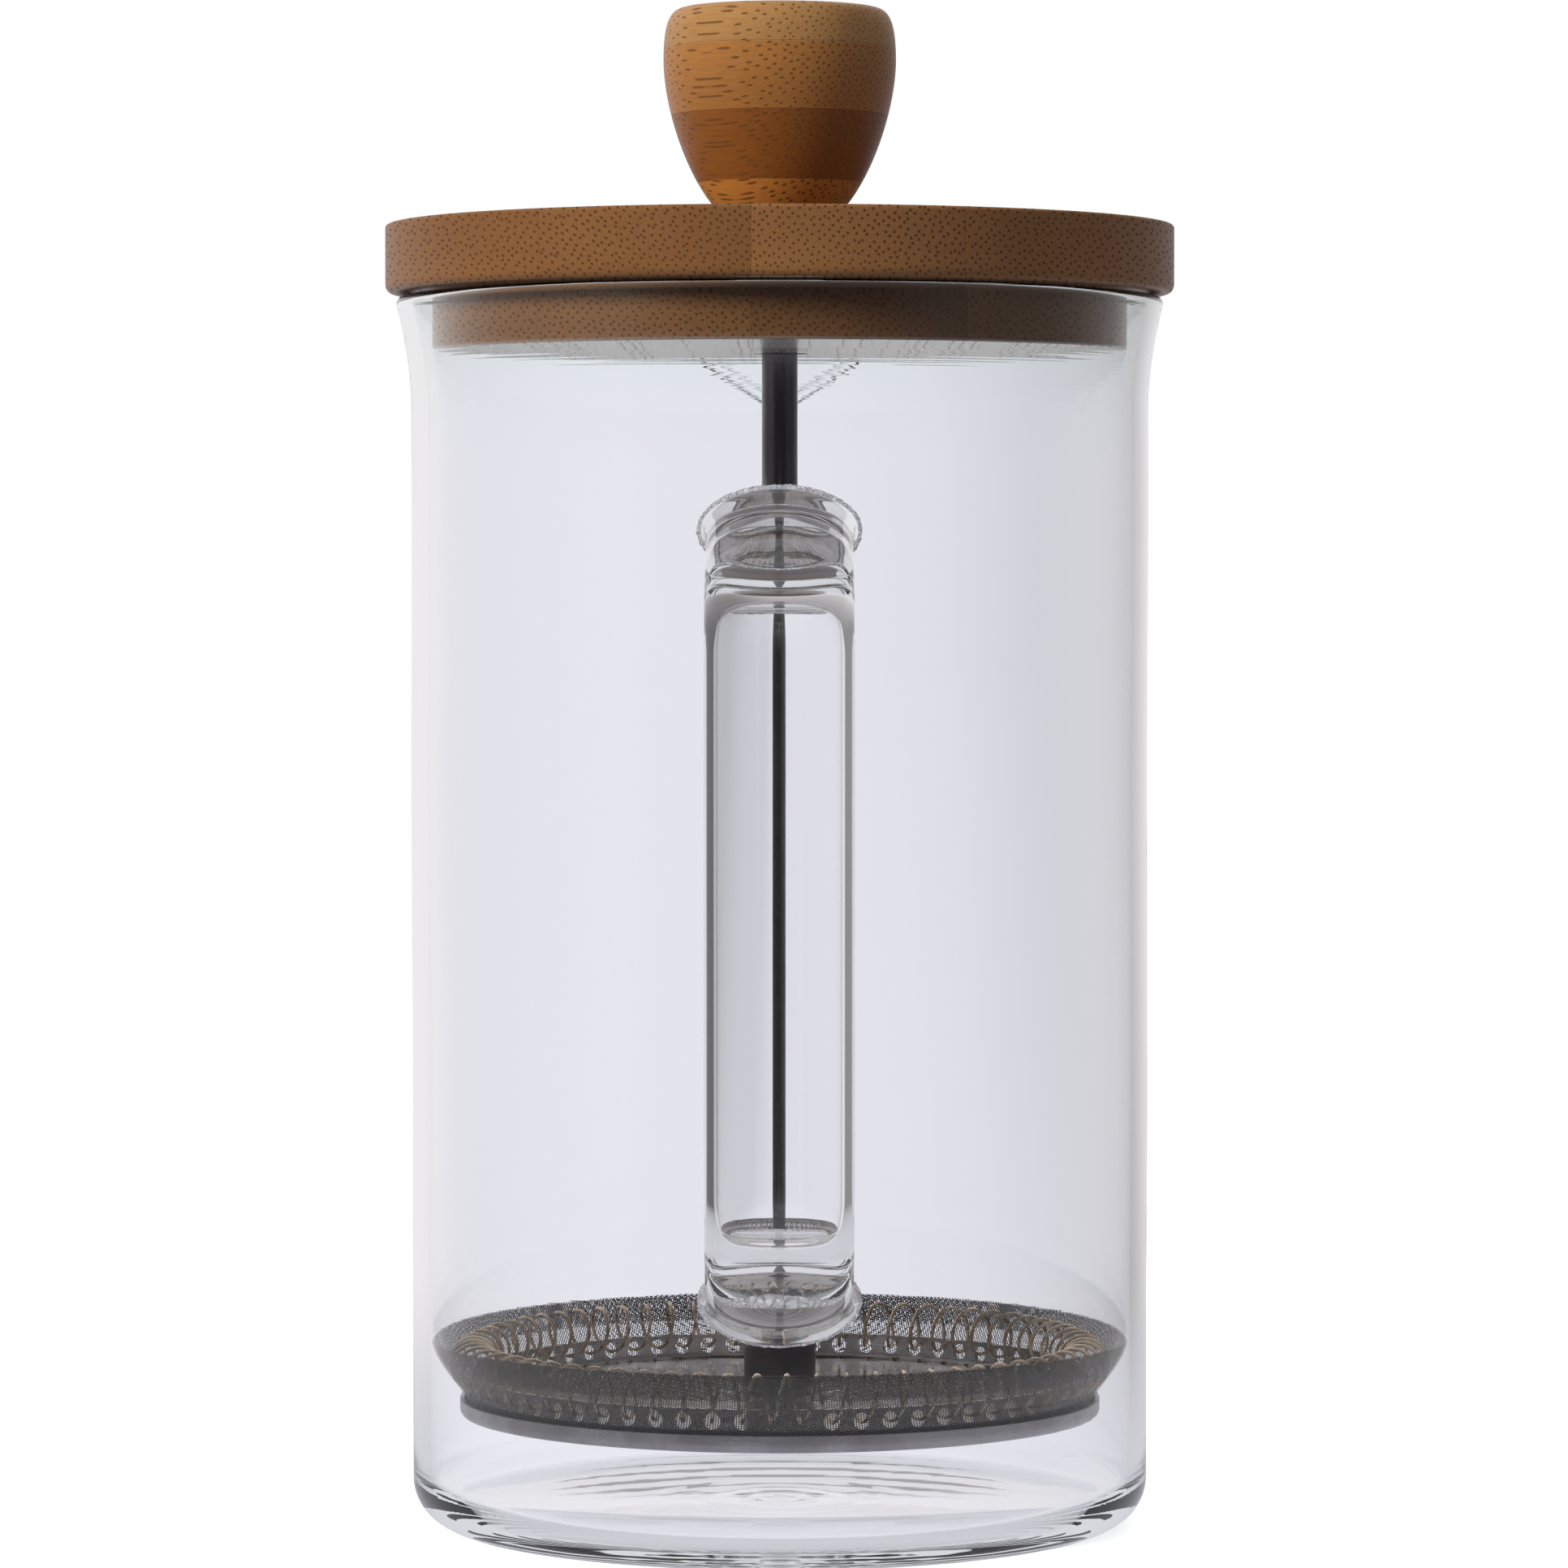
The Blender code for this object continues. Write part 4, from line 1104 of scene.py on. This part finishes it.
COIL_TURNS, COIL_RADIUS, COIL_WIRE, COIL_OVER_PLATE = 68, 0.00268, 0.00045, 0.0012
coil_ring = plate_reach - PLATE_SHEET / 2
coil_height = plate_top + COIL_OVER_PLATE
HOLE_RADIUS = 0.00095
holes = []
for turn_no in range(COIL_TURNS):
    compass = Matrix.Rotation(TURN * (turn_no - 0.25) / COIL_TURNS, 4, "Z")
    at = Matrix.Translation((coil_ring, 0.0, coil_height - COIL_RADIUS + 0.0001))
    holes.append(compass @ at @ Matrix.Rotation(math.pi / 2, 4, "Y"))
plate_mesh = drilled(plate_mesh, holes, HOLE_RADIUS, DRILL_DEPTH, 20)
place("spring_plate_pressed", plate_mesh, PLATE_STEEL, "plunger", "dark_steel", "spring_plate")

pan_line = pressed_line(pan_foot + PLATE_SHEET / 2, pan_top - PAN_DEPTH + PLATE_SHEET / 2,
                        pan_reach - PLATE_SHEET / 2, pan_top, 0.0007)
pan_mesh = turned("pan", sheet(pan_line, PLATE_SHEET), 256)
pan_mesh = drilled(pan_mesh, drains(pan_top - PAN_DEPTH), DRAIN_RADIUS, DRILL_DEPTH, 48)
place("cross_plate_pressed", pan_mesh, PAN_STEEL, "pan", "steel", "cross_plate")

# %% [markdown]
# The spring is one closed helix wound round a ring. A point of its line sits on a small circle that
# travels round the large one, 68 times turning while it goes round once, and the wire is a tube
# round that line.


# %% Spring
def coil_mesh(steps=26, sides=8):
    """Line: (R + c cos t) outwards and c sin t upwards, at the compass angle t / turns. The tube uses
    the circle's own outward direction and the one square to it and to the line."""
    t = np.linspace(0, TURN * COIL_TURNS, COIL_TURNS * steps, endpoint=False)
    compass = t / COIL_TURNS + 0.0016 * np.sin(t * 5 / COIL_TURNS)
    outward = np.stack([np.cos(compass), np.sin(compass), 0 * t], -1)
    upward = np.array([0.0, 0.0, 1.0])
    spoke = np.cos(t)[:, None] * outward + np.sin(t)[:, None] * upward
    line = coil_ring * outward + COIL_RADIUS * spoke
    line[:, 2] += coil_height
    along = unit(np.roll(line, -1, 0) - np.roll(line, 1, 0))
    spoke = unit(spoke - (spoke * along).sum(1, keepdims=True) * along)
    return surface("coil", tube(line, along, spoke, COIL_WIRE / 2, sides))


place("spring_wound", coil_mesh(), SPRING_STEEL, "plunger", "spring_wire", "coil_spring")

# %% [markdown]
# Wire cloth is a square weave cut as a flat disc and pressed into a dish, so its threads keep to the
# flat disc's own grid. The UV map holds each point's place on that flat disc: its distance along the
# profile, in its compass direction. The weave is then two sets of round wires that pass over and
# under each other. Between them the cloth is open. The hem is folded double.

# %% Woven wire finish
WEAVE_PITCH = 0.00030
WIRE_SHARE = 0.39  # of the pitch
HEM_WIDTH = 0.0032


def woven_group():
    """Wires: 1 - (distance from the wire's middle / half its width)^2, for each direction. The
    checker of the two cell numbers says which wire is on top."""
    group, entry, leave = new_group(
        "woven_wire", (("Flat", "Vector", None), ("Pitch", "Float", WEAVE_PITCH)),
        (("Wires", "Float"), ("Height", "Float")),
    )
    u, v, _ = split(group, entry["Flat"])
    u, v = u / entry["Pitch"], v / entry["Pitch"]
    over = calc(group, "SINE", u * math.pi) * calc(group, "SINE", v * math.pi)
    heights = []
    for share, way in ((u, 1.0), (v, -1.0)):
        off = calc(group, "FRACT", share) - 0.5
        off = off / (WIRE_SHARE / 2)
        round_wire = 1.0 - off * off
        lift = over * (0.45 * way) + 0.55
        heights.append((round_wire, round_wire * lift))
    top = calc(group, "MAXIMUM", heights[0][0], heights[1][0])
    put(group, leave["Wires"], step(group, top, 0.0, 0.15))
    put(group, leave["Height"], calc(group, "MAXIMUM", heights[0][1], heights[1][1]))
    return group


def wire_cloth():
    """Steel cloth, open between the wires. Only the sheet's face towards the ray counts, so that each
    layer is crossed once."""
    material, tree, shader, place_at = new_finish("wire_cloth", {"Metallic": 1.0})
    flat = add_node(tree, "UVMap", uv_map="flat").outputs[0]
    weave = use_group(tree, woven_group(), {"Flat": flat})
    marks = use_group(tree, MARKS, {"Position": place_at, "Cloud Size": 0.005})
    backfacing = Value(tree, add_node(tree, "NewGeometry").outputs["Backfacing"])
    put(tree, shader.inputs["Alpha"], weave["Wires"] * (1.0 - backfacing))
    # painted shade and highlight: the wires are darker where they dip under and towards their sides,
    # lighter on their crowns
    depth = step(tree, weave["Height"], 0.0, 0.8)
    colour = blend(tree, depth, (0.05, 0.047, 0.044, 1), (0.27, 0.255, 0.24, 1))
    stain = blend(tree, step(tree, marks["Clouds"], 0.3, 0.7), (0.82, 0.80, 0.78, 1), (1, 1, 1, 1))
    put(tree, shader.inputs["Base Color"], blend(tree, 1.0, colour, stain, "MULTIPLY"))
    put(tree, shader.inputs["Roughness"], step(tree, marks["Clouds"], 0.3, 0.7, 0.34, 0.48))
    raise_surface(tree, shader, weave["Height"], 0.00007)
    return material


# %% Wire cloth dish
CLOTH_SHEET = 0.00016
HEM_GAP = 0.00026


def cloth_line():
    """Floor, waist and a flare that bows outwards, then the hem, folded inwards and down again."""
    floor = mesh_foot + 0.00015
    waist = pan_reach - PLATE_SHEET - 0.0004
    tip = mesh_reach - 0.0001
    flare = bezier((waist, floor + 0.0008), (waist + 0.0004, floor + 0.0025),
                   (tip - 0.0008, mesh_top - 0.0036), (tip, mesh_top - 0.0003), 40)
    flat_part = filled(softened([(hub_bore, floor), (waist, floor), tuple(flare[0])],
                                (0.0, 0.0006, 0.0), 6), 0.0012)
    along = unit(np.gradient(flare, axis=0))
    inward = np.stack([-along[:, 1], along[:, 0]], -1)
    back = (flare + inward * HEM_GAP)[::-1]
    back = back[distance_along(back) <= HEM_WIDTH]
    s = np.linspace(0, math.pi, 8)[1:-1, None]
    middle = flare[-1] + inward[-1] * HEM_GAP / 2
    fold = middle - inward[-1] * HEM_GAP / 2 * np.cos(s) + along[-1] * HEM_GAP / 2 * np.sin(s)
    return np.concatenate([flat_part[:-1], flare, fold, back])


def cloth_mesh(columns=320):
    """The cloth's outline round the axis, with the flat disc's place of each point as its UV."""
    line = cloth_line()
    run = distance_along(line) + hub_bore
    outline = sheet(line, CLOTH_SHEET)
    reach = np.r_[run, run[::-1]][:, None]
    angle = np.linspace(0, TURN, columns, endpoint=False)
    flat = round_axis(reach, 0 * reach, angle)[..., :2]
    return surface("cloth", round_axis(outline[:, :1], outline[:, 1:], angle), flat=flat)


place("filter_cloth", cloth_mesh(), wire_cloth(), "plunger", "woven_steel", "filter_mesh")

# %% [markdown]
# The small hidden parts keep their CAD shapes and only get their metal: the sleeve in the lid, the
# brass insert in the knob, and the two eyelets that clamp the cloth.

# %% Finishes for the parts that stay
for node_name, material, slot_name in (
    ("rod_sleeve", PLAIN_STEEL, "steel"),
    ("knob_insert", BRASS, "brass"),
    ("mesh_eyelet_upper", PLAIN_STEEL, "steel"),
    ("mesh_eyelet_lower", PLAIN_STEEL, "steel"),
):
    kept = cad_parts[node_name]
    kept.data.materials.clear()
    kept.data.materials.append(material)
